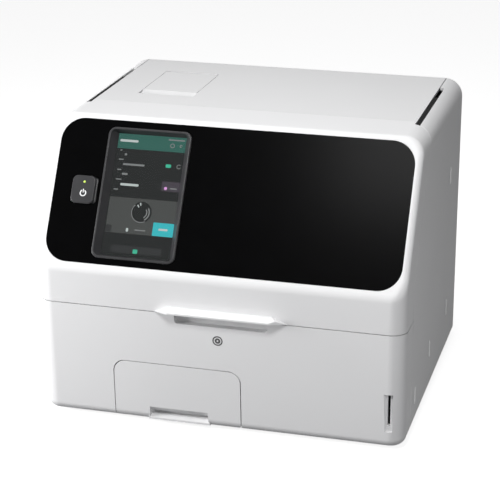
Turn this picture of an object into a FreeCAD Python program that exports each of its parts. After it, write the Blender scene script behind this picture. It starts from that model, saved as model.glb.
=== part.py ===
import FreeCAD, Part
import math
import os
import re
import Sketcher
from FreeCAD import Placement, Rotation, Vector

# Bench-top dry chemistry analyser, in millimetres.
# X runs along the width, +Y points to the rear, +Z up. The origin lies on the table
# under the middle of the machine. The slanted face carries the black panel.
# The casing is drawn about its own middle; at the end every piece moves to the rear by
# half of what the lip stands out, so that the whole outline has its middle at the origin.

doc = FreeCAD.newDocument("ChemistryAnalyser")
sheet = doc.addObject("Spreadsheet::Sheet", "dims")

SIZES = [
    # Outer form
    ("width", 470),
    ("depth", 400),
    ("foot_gap", 5),
    ("body_height", 372),
    ("nose_height", 200),
    ("face_run", 102),
    ("skirt_lean", 9),
    ("wall", 3.5),
    ("roll_radius", 24),
    ("rim_radius", 7.5),
    ("nose_radius", 18),
    ("corner_radius", 20),
    ("skirt_radius", 12),
    ("rear_radius", 8),
    ("seam_height", 158),
    ("seam_gap", 1.2),
    ("strip_gap", 0.4),
    ("wing_depth", 55),
    ("strip_seam", 169),
    ("slot_front", 157),
    ("slot_rear", 340),
    ("slot_width", 6.4),
    ("slot_inset", 23),
    ("flange", 22),
    ("mark_wide", 4.5),
    ("mark_tall", 23),
    ("mark_deep", 1.6),
    ("mark_rear", 90),
    ("mark_middle", 219),
    ("mark_front", 322),
    ("mark_high", 253),
    ("mark_low", 62),
    # Panel, display and button on the slanted face
    ("panel_side", 9),
    ("panel_low", 9),
    ("panel_high", 6.2),
    ("panel_corner", 30),
    ("panel_thick", 2),
    ("bezel_left", 71),
    ("bezel_low", 17),
    ("bezel_width", 109),
    ("bezel_tall", 168),
    ("bezel_corner", 10),
    ("bezel_proud", 2),
    ("bezel_rim", 3),
    ("bezel_side", 9.5),
    ("bezel_end", 5.8),
    ("glass_depth", 8.4),
    ("glass_thick", 1.6),
    ("module_deep", 11),
    ("button_left", 33),
    ("button_low", 85),
    ("button_size", 33),
    ("button_travel", 1.5),
    ("button_gap", 0.4),
    # Lip handle and the scoop below it
    ("lip_centre", 5),
    ("lip_root", 170),
    ("lip_front", 129),
    ("lip_reach", 12),
    ("lip_thick", 2.2),
    ("lip_stand", 2),
    ("scoop_width", 119),
    ("scoop_tall", 13),
    ("scoop_deep", 9),
    # Cover arms and their pivot
    ("arm_thick", 4.4),
    ("arm_depth", 29),
    ("pivot_rear", 328),
    ("pivot_drop", 25),
    ("pin_radius", 4),
    ("eye_radius", 12),
    # Waste drawer
    ("drawer_left", 98.5),
    ("drawer_width", 165),
    ("drawer_top", 85.5),
    ("drawer_corner", 15),
    ("drawer_foot_corner", 10),
    ("drawer_foot", 2),
    ("drawer_gap", 1.2),
    ("notch_left", 45.5),
    ("notch_width", 77),
    ("notch_top", 26),
    ("notch_deep", 15),
    ("notch_floor", 13.3),
    ("notch_mouth", 19),
    ("bin_length", 178),
    ("bin_floor", 14),
    ("bin_wall", 2),
    ("runner_wall", 2),
    # Card slot at the lower right corner
    ("card_inset", 19),
    ("card_low", 35.5),
    ("card_tall", 41),
    ("card_width", 3.6),
    ("card_recess", 11.5),
    ("card_slope", 4.5),
    ("card_margin", 8),
    ("card_unit_length", 60),
    # Steel chassis
    ("sheet", 2),
    ("frame_inset", 13),
    ("frame_front", 60),
    ("frame_drop", 11),
    ("bulkhead_y", 20),
    ("deck_top", 151),
    ("deck_thick", 3),
    ("deck_corner", 14),
    ("foot_radius", 14),
    ("foot_inset", 45),
    # Printer under its lid
    ("lid_left", 68),
    ("lid_width", 75.5),
    ("lid_front", 212),
    ("lid_length", 122),
    ("lid_gap", 0.6),
    ("ramp_length", 19),
    ("ramp_drop", 7),
    ("roll_paper_radius", 24),
    ("roll_core_radius", 7),
    ("platen_radius", 5.5),
    # Sampler
    ("rod_radius", 4),
    ("rod_y", -10),
    ("rod_drop", 92),
    ("rod_pitch", 34),
    ("carriage_width", 46),
    ("carriage_home", -110),
    ("head_width", 22),
    ("nozzle_y", -38),
    ("nozzle_tip", 214),
    ("nozzle_radius", 2),
    ("carriage_travel", 228),
    ("pulley_radius", 9),
    ("motor_size", 42),
    ("belt_thick", 1.4),
    ("belt_width", 6),
    # Incubator
    ("disc_x", 118),
    ("disc_y", -88),
    ("disc_radius", 66),
    ("disc_thick", 9),
    ("pocket_count", 12),
    # Connections in the back plate
    ("inlet_inset", 50),
    ("inlet_width", 27.5),
    ("inlet_low", 50),
    ("inlet_tall", 20),
    ("switch_space", 12.5),
    ("switch_width", 20),
    ("switch_tall", 26),
    ("port_left", 60),
    ("port_width", 100),
    ("port_tall", 18),
    ("port_pitch", 19),
    # Cooling
    ("fan_size", 80),
    ("fan_deep", 25),
    ("fan_x", 130),
    ("fan_drop", 92),
    ("fan_hub", 15),
    ("blade_count", 7),
    ("blade_root_pitch", 48),
    ("blade_tip_pitch", 24),
    ("vent_drop", 123),
    ("vent_pitch", 8),
    ("vent_count", 10),
    # Table-side stock
    ("tube_radius", 6.2),
    ("tube_length", 46),
    ("tube_pitch", 20),
    ("tube_count", 4),
    ("tip_radius", 3),
    ("tip_pitch", 11),
    ("tip_count", 4),
    ("screw_radius", 2.5),
    ("fit", 0.3),
]

for row, (alias, number) in enumerate(SIZES, start=1):
    sheet.set("A%d" % row, alias)
    sheet.set("B%d" % row, str(number))
    sheet.setAlias("B%d" % row, alias)
doc.recompute()

ALIASES = {alias for alias, number in SIZES}
WORD = re.compile(r"[A-Za-z_]+")

# Places that several pieces share, as expressions of the sheet.
NOSE = "(-depth / 2)"
REAR = "(depth / 2)"
TOP = "(foot_gap + body_height)"
NOSE_Z = "(foot_gap + nose_height)"
SEAM = "seam_height"
FLOOR = "(foot_gap + wall)"
PLATE = "(foot_gap + wall + sheet)"
FRAME_X = "(width / 2 - frame_inset)"
FRAME_TOP = "(foot_gap + body_height - frame_drop)"
PULLEY_X = "(width / 2 - frame_inset - motor_size / 2 - 1)"
FAN_Z = "(foot_gap + body_height - fan_drop)"
ROD_LOW = "(foot_gap + body_height - rod_drop)"
SLOT_X = "(width / 2 - slot_inset + slot_width / 2)"
PIVOT_Y = "(pivot_rear - depth / 2)"
PIVOT_Z = "(foot_gap + body_height - pivot_drop)"
DECK_LOW = "(deck_top - deck_thick)"


def text(expression):
    """The expression with each alias pointing into the sheet."""
    return WORD.sub(lambda word: "dims." + word.group(0) if word.group(0) in ALIASES else word.group(0), expression)


class Sizes:
    """The numbers of the sheet, for the few forms that code works out."""

    def __getattr__(self, alias):
        return float(sheet.get(alias))


size = Sizes()
ACROSS = Rotation(Vector(1, 1, 1), 120)
ALONG = Rotation(Vector(1, 0, 0), 90)


def bind(thing, **properties):
    """Ties properties of an object to expressions of the sheet."""
    for name, expression in properties.items():
        thing.setExpression(name.replace("__", "."), text(expression))
    return thing


def move(thing, x="0", y="0", z="0"):
    """Places an object by expressions of the sheet."""
    return bind(thing, Placement__Base__x=x, Placement__Base__y=y, Placement__Base__z=z)


def box(name, x, y, z):
    """A block between two places along each axis."""
    block = doc.addObject("Part::Box", name)
    bind(block, Length="(%s) - (%s)" % (x[1], x[0]), Width="(%s) - (%s)" % (y[1], y[0]), Height="(%s) - (%s)" % (z[1], z[0]))
    return move(block, x[0], y[0], z[0])


def rod(name, axis, start, length, radius):
    """A round bar from a place, along the X, Y or Z axis."""
    bar = doc.addObject("Part::Cylinder", name)
    turns = {"X": Rotation(Vector(0, 1, 0), 90), "Y": Rotation(Vector(1, 0, 0), -90), "Z": Rotation()}
    bar.Placement = Placement(Vector(), turns[axis])
    bind(bar, Radius=radius, Height=length)
    return move(bar, *start)


def cut(name, base, tools):
    """The base less every tool."""
    result = doc.addObject("Part::Cut", name)
    result.Base = base
    result.Tool = tools[0] if len(tools) == 1 else fuse(name + "_tools", tools)
    return result


def fuse(name, pieces):
    """Several overlapping pieces as one solid."""
    result = doc.addObject("Part::MultiFuse", name)
    result.Shapes = pieces
    result.Refine = True
    return result


def group(name, pieces):
    """Several separate solids kept in one node."""
    result = doc.addObject("Part::Compound", name)
    result.Links = pieces
    return result


def common(name, base, tool):
    """What two forms share."""
    result = doc.addObject("Part::Common", name)
    result.Base = base
    result.Tool = tool
    return result


def prism(name, plane, points, start, end):
    """An outline of straight lines, drawn in a plane and drawn out from start to end."""
    sketch = doc.addObject("Sketcher::SketchObject", name + "_outline")
    numbers = [Vector(10 * index, 10 * index * index, 0) for index in range(len(points))]
    for index in range(len(points)):
        sketch.addGeometry(Part.LineSegment(numbers[index], numbers[index - len(points) + 1]), False)
    for index in range(len(points)):
        sketch.addConstraint(Sketcher.Constraint("Coincident", index - 1 if index else len(points) - 1, 2, index, 1))
    for index, (across, up) in enumerate(points):
        for kind, expression in (("DistanceX", across), ("DistanceY", up)):
            number = sketch.addConstraint(Sketcher.Constraint(kind, -1, 1, index, 1, 1.0))
            sketch.setExpression("Constraints[%d]" % number, text(expression))
    turn = {"YZ": ACROSS, "XZ": ALONG, "XY": Rotation()}[plane]
    sketch.Placement = Placement(Vector(), turn)
    low = {"YZ": (start, "0", "0"), "XZ": ("0", end, "0"), "XY": ("0", "0", start)}[plane]
    move(sketch, *low)
    solid = doc.addObject("Part::Extrusion", name)
    solid.Base = sketch
    solid.DirMode = "Normal"
    solid.Solid = True
    return bind(solid, LengthFwd="(%s) - (%s)" % (end, start))


def rounded(name, base, radius, chosen):
    """The base with the chosen edges rounded; chosen tells of an edge by its sample points."""
    doc.recompute()
    result = doc.addObject("Part::Fillet", name)
    result.Base = base
    picked = []
    for index, edge in enumerate(base.Shape.Edges, start=1):
        first, last = edge.FirstParameter, edge.LastParameter
        samples = [edge.valueAt(first + (last - first) * part) for part in (0.0, 0.3, 0.7, 1.0)]
        found = chosen(samples)
        if found:
            picked.append((index, radius if found is True else found, radius if found is True else found))
    result.Edges = picked
    return result


def upright(samples):
    """Whether an edge stands along Z."""
    return abs(samples[0].x - samples[-1].x) + abs(samples[0].y - samples[-1].y) < 1e-4


def crosswise(samples):
    """Whether an edge lies along X."""
    return abs(samples[0].y - samples[-1].y) + abs(samples[0].z - samples[-1].z) < 1e-4


def lengthwise(samples):
    """Whether an edge lies along Y."""
    return abs(samples[0].x - samples[-1].x) + abs(samples[0].z - samples[-1].z) < 1e-4


# The slanted face has a frame of its own: X to the right, a way up the slope from the
# nose, and a way out of the face.
RISE = "(body_height - nose_height)"
SLOPE = "hypot(face_run; %s)" % RISE
COSINE = "(face_run / %s)" % SLOPE
SINE = "(%s / %s)" % (RISE, SLOPE)
LEAN = Rotation(Vector(1, 0, 0), math.degrees(math.atan2(size.body_height - size.nose_height, size.face_run)))


def lay_on_slope(thing, x, up, out, turn=Rotation()):
    """Places an object in the frame of the slanted face."""
    thing.Placement = Placement(Vector(), LEAN.multiply(turn))
    y = "%s + (%s) * %s - (%s) * %s" % (NOSE, up, COSINE, out, SINE)
    z = "%s + (%s) * %s + (%s) * %s" % (NOSE_Z, up, SINE, out, COSINE)
    if turn == Rotation():
        thing.setExpression("Placement.Rotation.Angle", text("atan2(%s; face_run)" % RISE))
    return move(thing, x, y, z)


def slope_box(name, x, up, out):
    """A block in the frame of the slanted face, between two places along each way."""
    block = doc.addObject("Part::Box", name)
    bind(block, Length="(%s) - (%s)" % (x[1], x[0]), Width="(%s) - (%s)" % (up[1], up[0]))
    bind(block, Height="(%s) - (%s)" % (out[1], out[0]))
    return lay_on_slope(block, x[0], up[0], out[0])


def slope_rod(name, x, up, out, radius):
    """A round bar that stands out of the slanted face."""
    bar = doc.addObject("Part::Cylinder", name)
    bind(bar, Radius=radius, Height="(%s) - (%s)" % (out[1], out[0]))
    return lay_on_slope(bar, x, up, out[0])


def outward(samples):
    """Whether an edge stands straight out of the slanted face."""
    way = samples[-1] - samples[0]
    return way.cross(LEAN.multVec(Vector(0, 0, 1))).Length < 1e-4 * way.Length


def inset_profile(inset):
    """Side view of the casing, pushed inwards by a wall."""
    slant = "(%s) / %s" % (inset, SINE)
    low = "foot_gap + (%s)" % inset
    high = "%s - (%s)" % (TOP, inset)
    return [
        ("%s + skirt_lean + (%s)" % (NOSE, inset), low),
        ("%s + (%s)" % (NOSE, inset), "%s + ((%s) - %s) * %s / face_run" % (NOSE_Z, inset, slant, RISE)),
        ("%s + (%s - (%s)) * face_run / %s + %s" % (NOSE, RISE, inset, RISE, slant), high),
        ("%s - (%s)" % (REAR, inset), high),
        ("%s - (%s)" % (REAR, inset), low),
    ]


def casing_form(name, inset):
    """The soft outer shape of the machine, or the room inside it."""
    wall = 0 if inset == "0" else size.wall
    half = size.width / 2 - wall
    low = size.foot_gap + wall
    high = size.foot_gap + size.body_height - wall
    back = size.depth / 2 - wall
    nose_z = size.foot_gap + size.nose_height
    block = prism(name + "_block", "YZ", inset_profile(inset), "(%s) - width / 2" % inset, "width / 2 - (%s)" % inset)

    def top_side(samples):
        return lengthwise(samples) and samples[0].z > high - 1e-4

    rolled = rounded(name + "_rolled", block, size.roll_radius - wall, top_side)
    slant = LEAN.multVec(Vector(0, 0, 1))
    start = Vector(0, -size.depth / 2, nose_z) - slant * wall

    def edge_radius(samples):
        if all(abs((point - start).dot(slant)) < 1e-3 for point in samples):
            level = all(abs(point.z - samples[0].z) < 1e-4 for point in samples)
            return size.nose_radius + wall / 2 if level and samples[0].z < nose_z + 1 else size.rim_radius - wall / 2
        if all(abs(point.z - low) < 1e-4 for point in samples):
            return size.skirt_radius - wall
        if all(abs(point.y - back) < 1e-4 for point in samples):
            return size.rear_radius - wall
        ahead = samples[0].y < -size.depth / 2 + size.skirt_lean + wall + 1e-4
        sideways = abs(abs(samples[0].x) - half) < 1e-4 and abs(abs(samples[-1].x) - half) < 1e-4
        if ahead and sideways and max(point.z for point in samples) < nose_z + 1e-4:
            return size.corner_radius - wall
        return False

    return rounded(name, rolled, True, edge_radius)


def make_skin():
    """The moulded wall all round, before it is parted into covers."""
    return cut("casing_skin", casing_form("casing_outside", "0"), [casing_form("casing_inside", "wall")])


# The lines where the covers part.
WING_Y = "(%s + wing_depth)" % NOSE
STRIP_Y = "(strip_seam - depth / 2)"
SLOT_FROM = "(slot_front - depth / 2)"
SLOT_TO = "(slot_rear - depth / 2)"
DECK_HALF = "(width / 2 - slot_inset)"
HALF_GAP = "(seam_gap / 2)"
ABOVE = "(%s + 30)" % TOP


def wing_prism(name, shift, front):
    """Everything before or behind the line where the front cover's wings end."""
    slope_end = "%s + (%s) + (30 + %s) * face_run / %s" % (WING_Y, shift, RISE, RISE)
    far = "%s - 40" % NOSE if front else "%s + 40" % REAR
    points = [
        ("%s + (%s)" % (WING_Y, shift), "-20"),
        ("%s + (%s)" % (WING_Y, shift), NOSE_Z),
        (slope_end, ABOVE),
        (far, ABOVE),
        (far, "-20"),
    ]
    return prism(name, "YZ", points, "-width", "width")


def panel_span(name, grow, depth_from, depth_to):
    """A plate of the panel's outline in the frame of the slanted face."""
    side = "width / 2 - panel_side + (%s)" % grow
    up = ("panel_low - (%s)" % grow, "%s - panel_high + (%s)" % (SLOPE, grow))
    plate = slope_box(name + "_plate", ("-(%s)" % side, side), up, (depth_from, depth_to))
    return rounded(name, plate, size.panel_corner, outward)


BEZEL_LEFT = "(bezel_left - width / 2)"
BEZEL_RIGHT = "(bezel_left + bezel_width - width / 2)"
BEZEL_TOP = "(bezel_low + bezel_tall)"
BUTTON_LEFT = "(button_left - width / 2)"
BUTTON_RIGHT = "(button_left + button_size - width / 2)"
BUTTON_TOP = "(button_low + button_size)"


def bezel_span(name, grow, depth_from, depth_to):
    """A plate of the display frame's outline in the frame of the slanted face."""
    x = ("%s - (%s)" % (BEZEL_LEFT, grow), "%s + (%s)" % (BEZEL_RIGHT, grow))
    up = ("bezel_low - (%s)" % grow, "%s + (%s)" % (BEZEL_TOP, grow))
    return slope_box(name, x, up, (depth_from, depth_to))


def button_span(name, grow, depth_from, depth_to):
    """A plate of the power button's outline in the frame of the slanted face."""
    x = ("%s - (%s)" % (BUTTON_LEFT, grow), "%s + (%s)" % (BUTTON_RIGHT, grow))
    up = ("button_low - (%s)" % grow, "%s + (%s)" % (BUTTON_TOP, grow))
    return slope_box(name, x, up, (depth_from, depth_to))


LIP_LEFT = "(lip_centre - lip_root / 2)"
LIP_RIGHT = "(lip_centre + lip_root / 2)"
LIP_LOW = "(seam_height + seam_gap / 2)"
LIP_HIGH = "(seam_height + seam_gap / 2 + 4 * lip_thick)"
LIP_Y = "(%s + lip_stand)" % NOSE


def lip_handle():
    """The lip along the lower edge that a hand pulls to open the cover."""
    side = prism("lip_side", "YZ", [
        ("%s + wall" % LIP_Y, LIP_LOW),
        (LIP_Y, LIP_LOW),
        ("%s - lip_reach" % LIP_Y, "%s + lip_thick" % LIP_LOW),
        ("%s - lip_reach" % LIP_Y, "%s + 2 * lip_thick" % LIP_LOW),
        (LIP_Y, LIP_HIGH),
        ("%s + wall" % LIP_Y, LIP_HIGH),
    ], LIP_LEFT, LIP_RIGHT)
    plan = prism("lip_plan", "XY", [
        (LIP_LEFT, "%s + wall" % LIP_Y),
        (LIP_LEFT, LIP_Y),
        ("lip_centre - lip_front / 2", "%s - lip_reach" % LIP_Y),
        ("lip_centre + lip_front / 2", "%s - lip_reach" % LIP_Y),
        (LIP_RIGHT, LIP_Y),
        (LIP_RIGHT, "%s + wall" % LIP_Y),
    ], "seam_height", "seam_height + 6 * lip_thick")
    face = prism("lip_face", "XZ", [
        (LIP_LEFT, LIP_LOW),
        (LIP_RIGHT, LIP_LOW),
        ("lip_centre + lip_front / 2", LIP_HIGH),
        ("lip_centre - lip_front / 2", LIP_HIGH),
    ], "-depth", "depth")
    return common("lip", common("lip_ends", side, plan), face)


ARM_IN = "(%s - arm_thick / 2)" % SLOT_X
ARM_OUT = "(%s + arm_thick / 2)" % SLOT_X
BOSS_FRONT = "(%s - arm_depth)" % SLOT_FROM


def mirrored(name, solid):
    """The same form on the other side of the machine."""
    result = doc.addObject("Part::Mirroring", name)
    result.Source = solid
    result.Normal = Vector(1, 0, 0)
    return result


def pair(name, solid):
    """A solid and its mirror image in one node."""
    return group(name, [solid, mirrored(name + "_left", solid)])


def front_cover():
    """The lifting cover: slanted face, wings, front of the top and the lip."""
    ahead = wing_prism("cover_ahead", "-seam_gap / 2", True)
    over = box("cover_over", ("-width", "width"), ("-depth", "depth"), ("seam_height + seam_gap / 2", ABOVE))
    edge = "%s - strip_gap / 2" % STRIP_Y
    strip = prism("cover_strip", "YZ", [
        ("%s - 3 * wall" % SLOT_FROM, "%s - 2 * wall" % TOP),
        ("%s - wall / 2" % edge, "%s - 2 * wall" % TOP),
        ("%s + 30 / 4" % edge, ABOVE),
        ("%s - 3 * wall" % SLOT_FROM, ABOVE),
    ], "strip_gap / 2 - %s" % DECK_HALF, "%s - strip_gap / 2" % DECK_HALF)
    zone = fuse("cover_zone", [common("cover_front_zone", ahead, over), strip])
    shell = common("cover_shell", skin, zone)
    boss = box("arm_boss", ("%s - 10" % ARM_IN, ARM_IN), (BOSS_FRONT, "%s - 4" % SLOT_FROM),
               ("%s - wall - arm_depth + 8" % TOP, "%s - wall / 2" % TOP))
    corner = box("catch_boss", ("%s - 16" % DECK_HALF, DECK_HALF), ("%s + wall / 2" % NOSE, "%s + 24" % NOSE),
                 ("seam_height + 4", "seam_height + 12"))
    posts = [slope_rod("switch_post_%d" % number, x, up, ("-9", "-wall / 2"), "2.2")
             for number, (x, up) in enumerate(switch_corners(), start=1)]
    solid = fuse("cover_body", [shell, lip_handle(), boss, mirrored("arm_boss_left", boss),
                                corner, mirrored("catch_boss_left", corner)] + posts)
    pocket = panel_span("panel_pocket", "fit / 2", "-panel_thick", "5")
    window = bezel_span("display_window", "-bezel_rim", "-5 * wall", "5")
    keyhole = button_span("button_window", "button_gap", "-3 * wall", "5")
    hollow = [slope_rod("switch_pilot_%d" % number, x, up, ("-10", "-wall"), "0.9")
              for number, (x, up) in enumerate(switch_corners(), start=1)]
    return cut("front_cover", solid, [pocket, window, keyhole] + hollow)


def switch_corners():
    """Where the posts behind the power button stand."""
    return [(x, up) for x in ("%s - 6" % BUTTON_LEFT, "%s + 6" % BUTTON_RIGHT)
            for up in ("button_low - 3", "%s + 3" % BUTTON_TOP)]


def front_panel():
    """The glossy black sheet let into the slanted face."""
    plate = panel_span("panel_plate", "-fit / 2", "-panel_thick", "0")
    window = rounded("panel_window", bezel_span("panel_window_block", "fit / 2", "-5", "5"), size.bezel_corner, outward)
    keyhole = rounded("panel_keyhole", button_span("panel_keyhole_block", "button_gap", "-5", "5"), 3, outward)
    return cut("front_panel", plate, [window, keyhole])


def display_bezel():
    """The raised frame round the touch display; its inner sides slope down to the glass."""
    flange = rounded("bezel_flange", bezel_span("bezel_block", "0", "-panel_thick", "bezel_proud"), size.bezel_corner, outward)
    edge = rounded("bezel_soft", flange, 0.9, on_rim)
    sleeve = bezel_span("bezel_sleeve", "-bezel_rim - fit / 2", "-glass_depth", "-panel_thick / 2")
    mouth = doc.addObject("Part::Wedge", "bezel_mouth")
    bind(mouth, Xmin="0", Zmin="0", Ymin="0", Ymax="glass_depth + bezel_proud + 0.2",
         Xmax="bezel_width - 2 * bezel_side", Zmax="bezel_tall - 2 * bezel_end",
         X2min="bezel_rim - bezel_side", X2max="bezel_width - bezel_side - bezel_rim",
         Z2min="bezel_rim - bezel_end", Z2max="bezel_tall - bezel_end - bezel_rim")
    upright_turn = Rotation(Vector(1, 0, 0), 90)
    lay_on_slope(mouth, "%s + bezel_side" % BEZEL_LEFT, "%s - bezel_end" % BEZEL_TOP, "-glass_depth - 0.1", upright_turn)
    return cut("display_bezel", fuse("bezel_solid", [edge, sleeve]), [mouth])


def on_rim(samples):
    """Whether an edge lies on the front rim of the display's frame."""
    slant = LEAN.multVec(Vector(0, 0, 1))
    start = Vector(0, -size.depth / 2, size.foot_gap + size.nose_height)
    return all(abs((point - start).dot(slant) - size.bezel_proud) < 1e-3 for point in samples)


def touch_glass():
    """The display's cover glass, behind the sloping sides of its frame."""
    return bezel_span("touch_glass", "-bezel_rim - 1.5", "-glass_depth - glass_thick", "-glass_depth")


def display_module():
    """The display itself, behind the glass."""
    return bezel_span("display_module", "-bezel_rim - 1", "-glass_depth - glass_thick - module_deep", "-glass_depth - glass_thick")


def power_button():
    """The square button: a cap with a collar that keeps it behind the wall."""
    cap = rounded("button_cap", button_span("button_block", "0", "-5.4", "0.3"), 3, outward)
    collar = button_span("button_collar", "1.6", "-5.4", "-4.2")
    stem = slope_rod("button_stem", "%s + button_size / 2" % BUTTON_LEFT, "button_low + button_size / 2",
                     ("-9", "-5.3"), "3")
    solid = fuse("button_body", [cap, collar, stem])
    seat = slope_rod("lens_seat", "%s + button_size / 2" % BUTTON_LEFT, "%s - 6.5" % BUTTON_TOP, ("-1.5", "2"), "1.6")
    return cut("power_button", solid, [seat])


def button_lens():
    """The small light at the top of the button."""
    return slope_rod("button_lens", "%s + button_size / 2" % BUTTON_LEFT, "%s - 6.5" % BUTTON_TOP,
                     ("-1.5", "0.5"), "1.5")


def switch_board():
    """The little board with the switch that the button pushes."""
    plate = button_span("switch_plate", "9", "-10.6", "-9")
    body = slope_box("switch_body", ("%s + button_size / 2 - 4" % BUTTON_LEFT, "%s + button_size / 2 + 4" % BUTTON_LEFT),
                     ("button_low + button_size / 2 - 4", "button_low + button_size / 2 + 4"), ("-14", "-10.6"))
    well = slope_rod("switch_well", "%s + button_size / 2" % BUTTON_LEFT, "button_low + button_size / 2",
                     ("-12.5", "-5"), "3.4")
    return cut("switch_board", fuse("switch_solid", [plate, body]), [well])


def cover_arm():
    """The flat steel arm that carries the cover and turns on the hinge pin."""
    bar = prism("arm_bar", "YZ", [
        ("%s + 1.5" % SLOT_FROM, "%s - 1.5 - arm_depth" % TOP),
        ("%s + 1.5" % SLOT_FROM, "%s - 1.5" % TOP),
        ("%s - 34" % PIVOT_Y, "%s - 1.5" % TOP),
        (PIVOT_Y, "%s + eye_radius - 1" % PIVOT_Z),
        (PIVOT_Y, "%s - 1.5 - arm_depth" % TOP),
    ], ARM_IN, ARM_OUT)
    tab = box("arm_tab", (ARM_IN, ARM_OUT), (BOSS_FRONT, "%s + 1.5" % SLOT_FROM),
              ("%s - 1.5 - arm_depth" % TOP, "%s - wall - 1.7" % TOP))
    eye = rod("arm_eye", "X", (ARM_IN, PIVOT_Y, PIVOT_Z), "arm_thick", "eye_radius")
    bore = rod("arm_bore", "X", ("%s - 5" % ARM_IN, PIVOT_Y, PIVOT_Z), "arm_thick + 10", "pin_radius + 0.05")
    windows = [box("arm_window_%d" % number, ("%s - 5" % ARM_IN, "%s + 5" % ARM_OUT),
                   ("%s + %d * 48 + 14" % (SLOT_FROM, number), "%s + %d * 48 + 44" % (SLOT_FROM, number)),
                   ("%s - arm_depth + 5" % TOP, "%s - 12" % TOP)) for number in range(3)]
    return cut("cover_arm", fuse("arm_solid", [bar, tab, eye]), [bore] + windows)


def hinge_pin():
    """The pin that the arm turns on, riveted into the side frame."""
    shaft = rod("pin_shaft", "X", ("%s - 2" % ARM_IN, PIVOT_Y, PIVOT_Z), "%s + sheet + 2 - (%s - 2)" % (FRAME_X, ARM_IN), "pin_radius")
    shoulder = rod("pin_shoulder", "X", ("%s + fit" % ARM_OUT, PIVOT_Y, PIVOT_Z), "%s - %s - fit" % (FRAME_X, ARM_OUT), "pin_radius + 3")
    head = rod("pin_head", "X", ("%s - 3 - fit" % ARM_IN, PIVOT_Y, PIVOT_Z), "3", "pin_radius + 2.5")
    return fuse("hinge_pin", [shaft, shoulder, head])


def top_deck():
    """The fixed cover over the rear of the machine, with the pocket of the printer lid."""
    behind = box("deck_zone", ("-(%s)" % DECK_HALF, DECK_HALF), ("%s + strip_gap / 2" % STRIP_Y, "depth"),
                 ("%s - flange" % TOP, ABOVE))
    shell = common("deck_shell", skin, behind)
    curb = box("lid_curb", ("%s - 2.5" % LID_LEFT, "%s + 2.5" % LID_RIGHT), ("%s - 2.5" % LID_FRONT, "%s + 2.5" % LID_REAR),
               ("%s - 3 * wall" % TOP, "%s - wall / 2" % TOP))
    mouth = box("lid_mouth", (LID_LEFT, LID_RIGHT), (LID_FRONT, LID_REAR), ("%s - 30" % TOP, ABOVE))
    stubs = [rod("lid_stub_left", "X", ("%s - 1" % LID_LEFT, LID_AXIS_Y, LID_AXIS_Z), "7", "1.5"),
             rod("lid_stub_right", "X", ("%s - 6" % LID_RIGHT, LID_AXIS_Y, LID_AXIS_Z), "7", "1.5")]
    return fuse("top_deck", [cut("deck_open", fuse("deck_solid", [shell, curb]), [mouth])] + stubs)


LID_LEFT = "(lid_left - width / 2)"
LID_RIGHT = "(lid_left + lid_width - width / 2)"
LID_FRONT = "(lid_front - depth / 2)"
LID_REAR = "(lid_front + lid_length - depth / 2)"
LID_AXIS_Y = "(%s - 4)" % LID_REAR
LID_AXIS_Z = "(%s - 3.4)" % TOP


def printer_lid():
    """The lid over the paper roll: a flat plate that dips to the front, with a finger slit."""
    left = "%s + lid_gap" % LID_LEFT
    right = "%s - lid_gap" % LID_RIGHT
    start = "%s + lid_gap" % LID_FRONT
    plate = prism("lid_plate", "YZ", [
        (start, "%s - ramp_drop - 2.6" % TOP),
        (start, "%s - ramp_drop" % TOP),
        ("%s + ramp_length" % start, TOP),
        (LID_AXIS_Y, TOP),
        (LID_AXIS_Y, "%s - 3" % TOP),
        ("%s + ramp_length + 1" % start, "%s - 3" % TOP),
    ], left, right)
    knuckle = rod("lid_knuckle", "X", (left, LID_AXIS_Y, LID_AXIS_Z), "lid_width - 2 * lid_gap", "3.4")
    ears = [box("lid_ear_%d" % side, (x, "%s + 5" % x), ("%s + 52" % LID_FRONT, "%s + 70" % LID_FRONT),
                ("%s - 16" % TOP, "%s - 2" % TOP)) for side, x in enumerate((left, "%s - 5" % right))]
    slit = box("lid_slit", ("%s + 33" % LID_LEFT, "%s + 53" % LID_LEFT), ("%s + 7" % start, "%s + 10.5" % start),
               ("%s - 20" % TOP, ABOVE))
    bore = rod("lid_bore", "X", ("%s - 5" % left, LID_AXIS_Y, LID_AXIS_Z), "lid_width + 10", "1.56")
    roller_bore = rod("roller_bore", "X", ("%s - 5" % left, "%s + 61" % LID_FRONT, "%s - 11" % TOP), "lid_width + 10", "2.1")
    return cut("printer_lid", fuse("lid_solid", [plate, knuckle] + ears), [slit, bore, roller_bore])


def platen_roller():
    """The rubber roller that the lid presses on the paper."""
    start = "%s + lid_gap" % LID_LEFT
    axis = ("%s + 61" % LID_FRONT, "%s - 11" % TOP)
    shaft = rod("roller_shaft", "X", ("%s + 1" % start, axis[0], axis[1]), "lid_width - 2 * lid_gap - 2", "2")
    tyre = rod("roller_tyre", "X", ("%s + 6" % start, axis[0], axis[1]), "lid_width - 2 * lid_gap - 12", "platen_radius")
    return fuse("platen_roller", [shaft, tyre])


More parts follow.
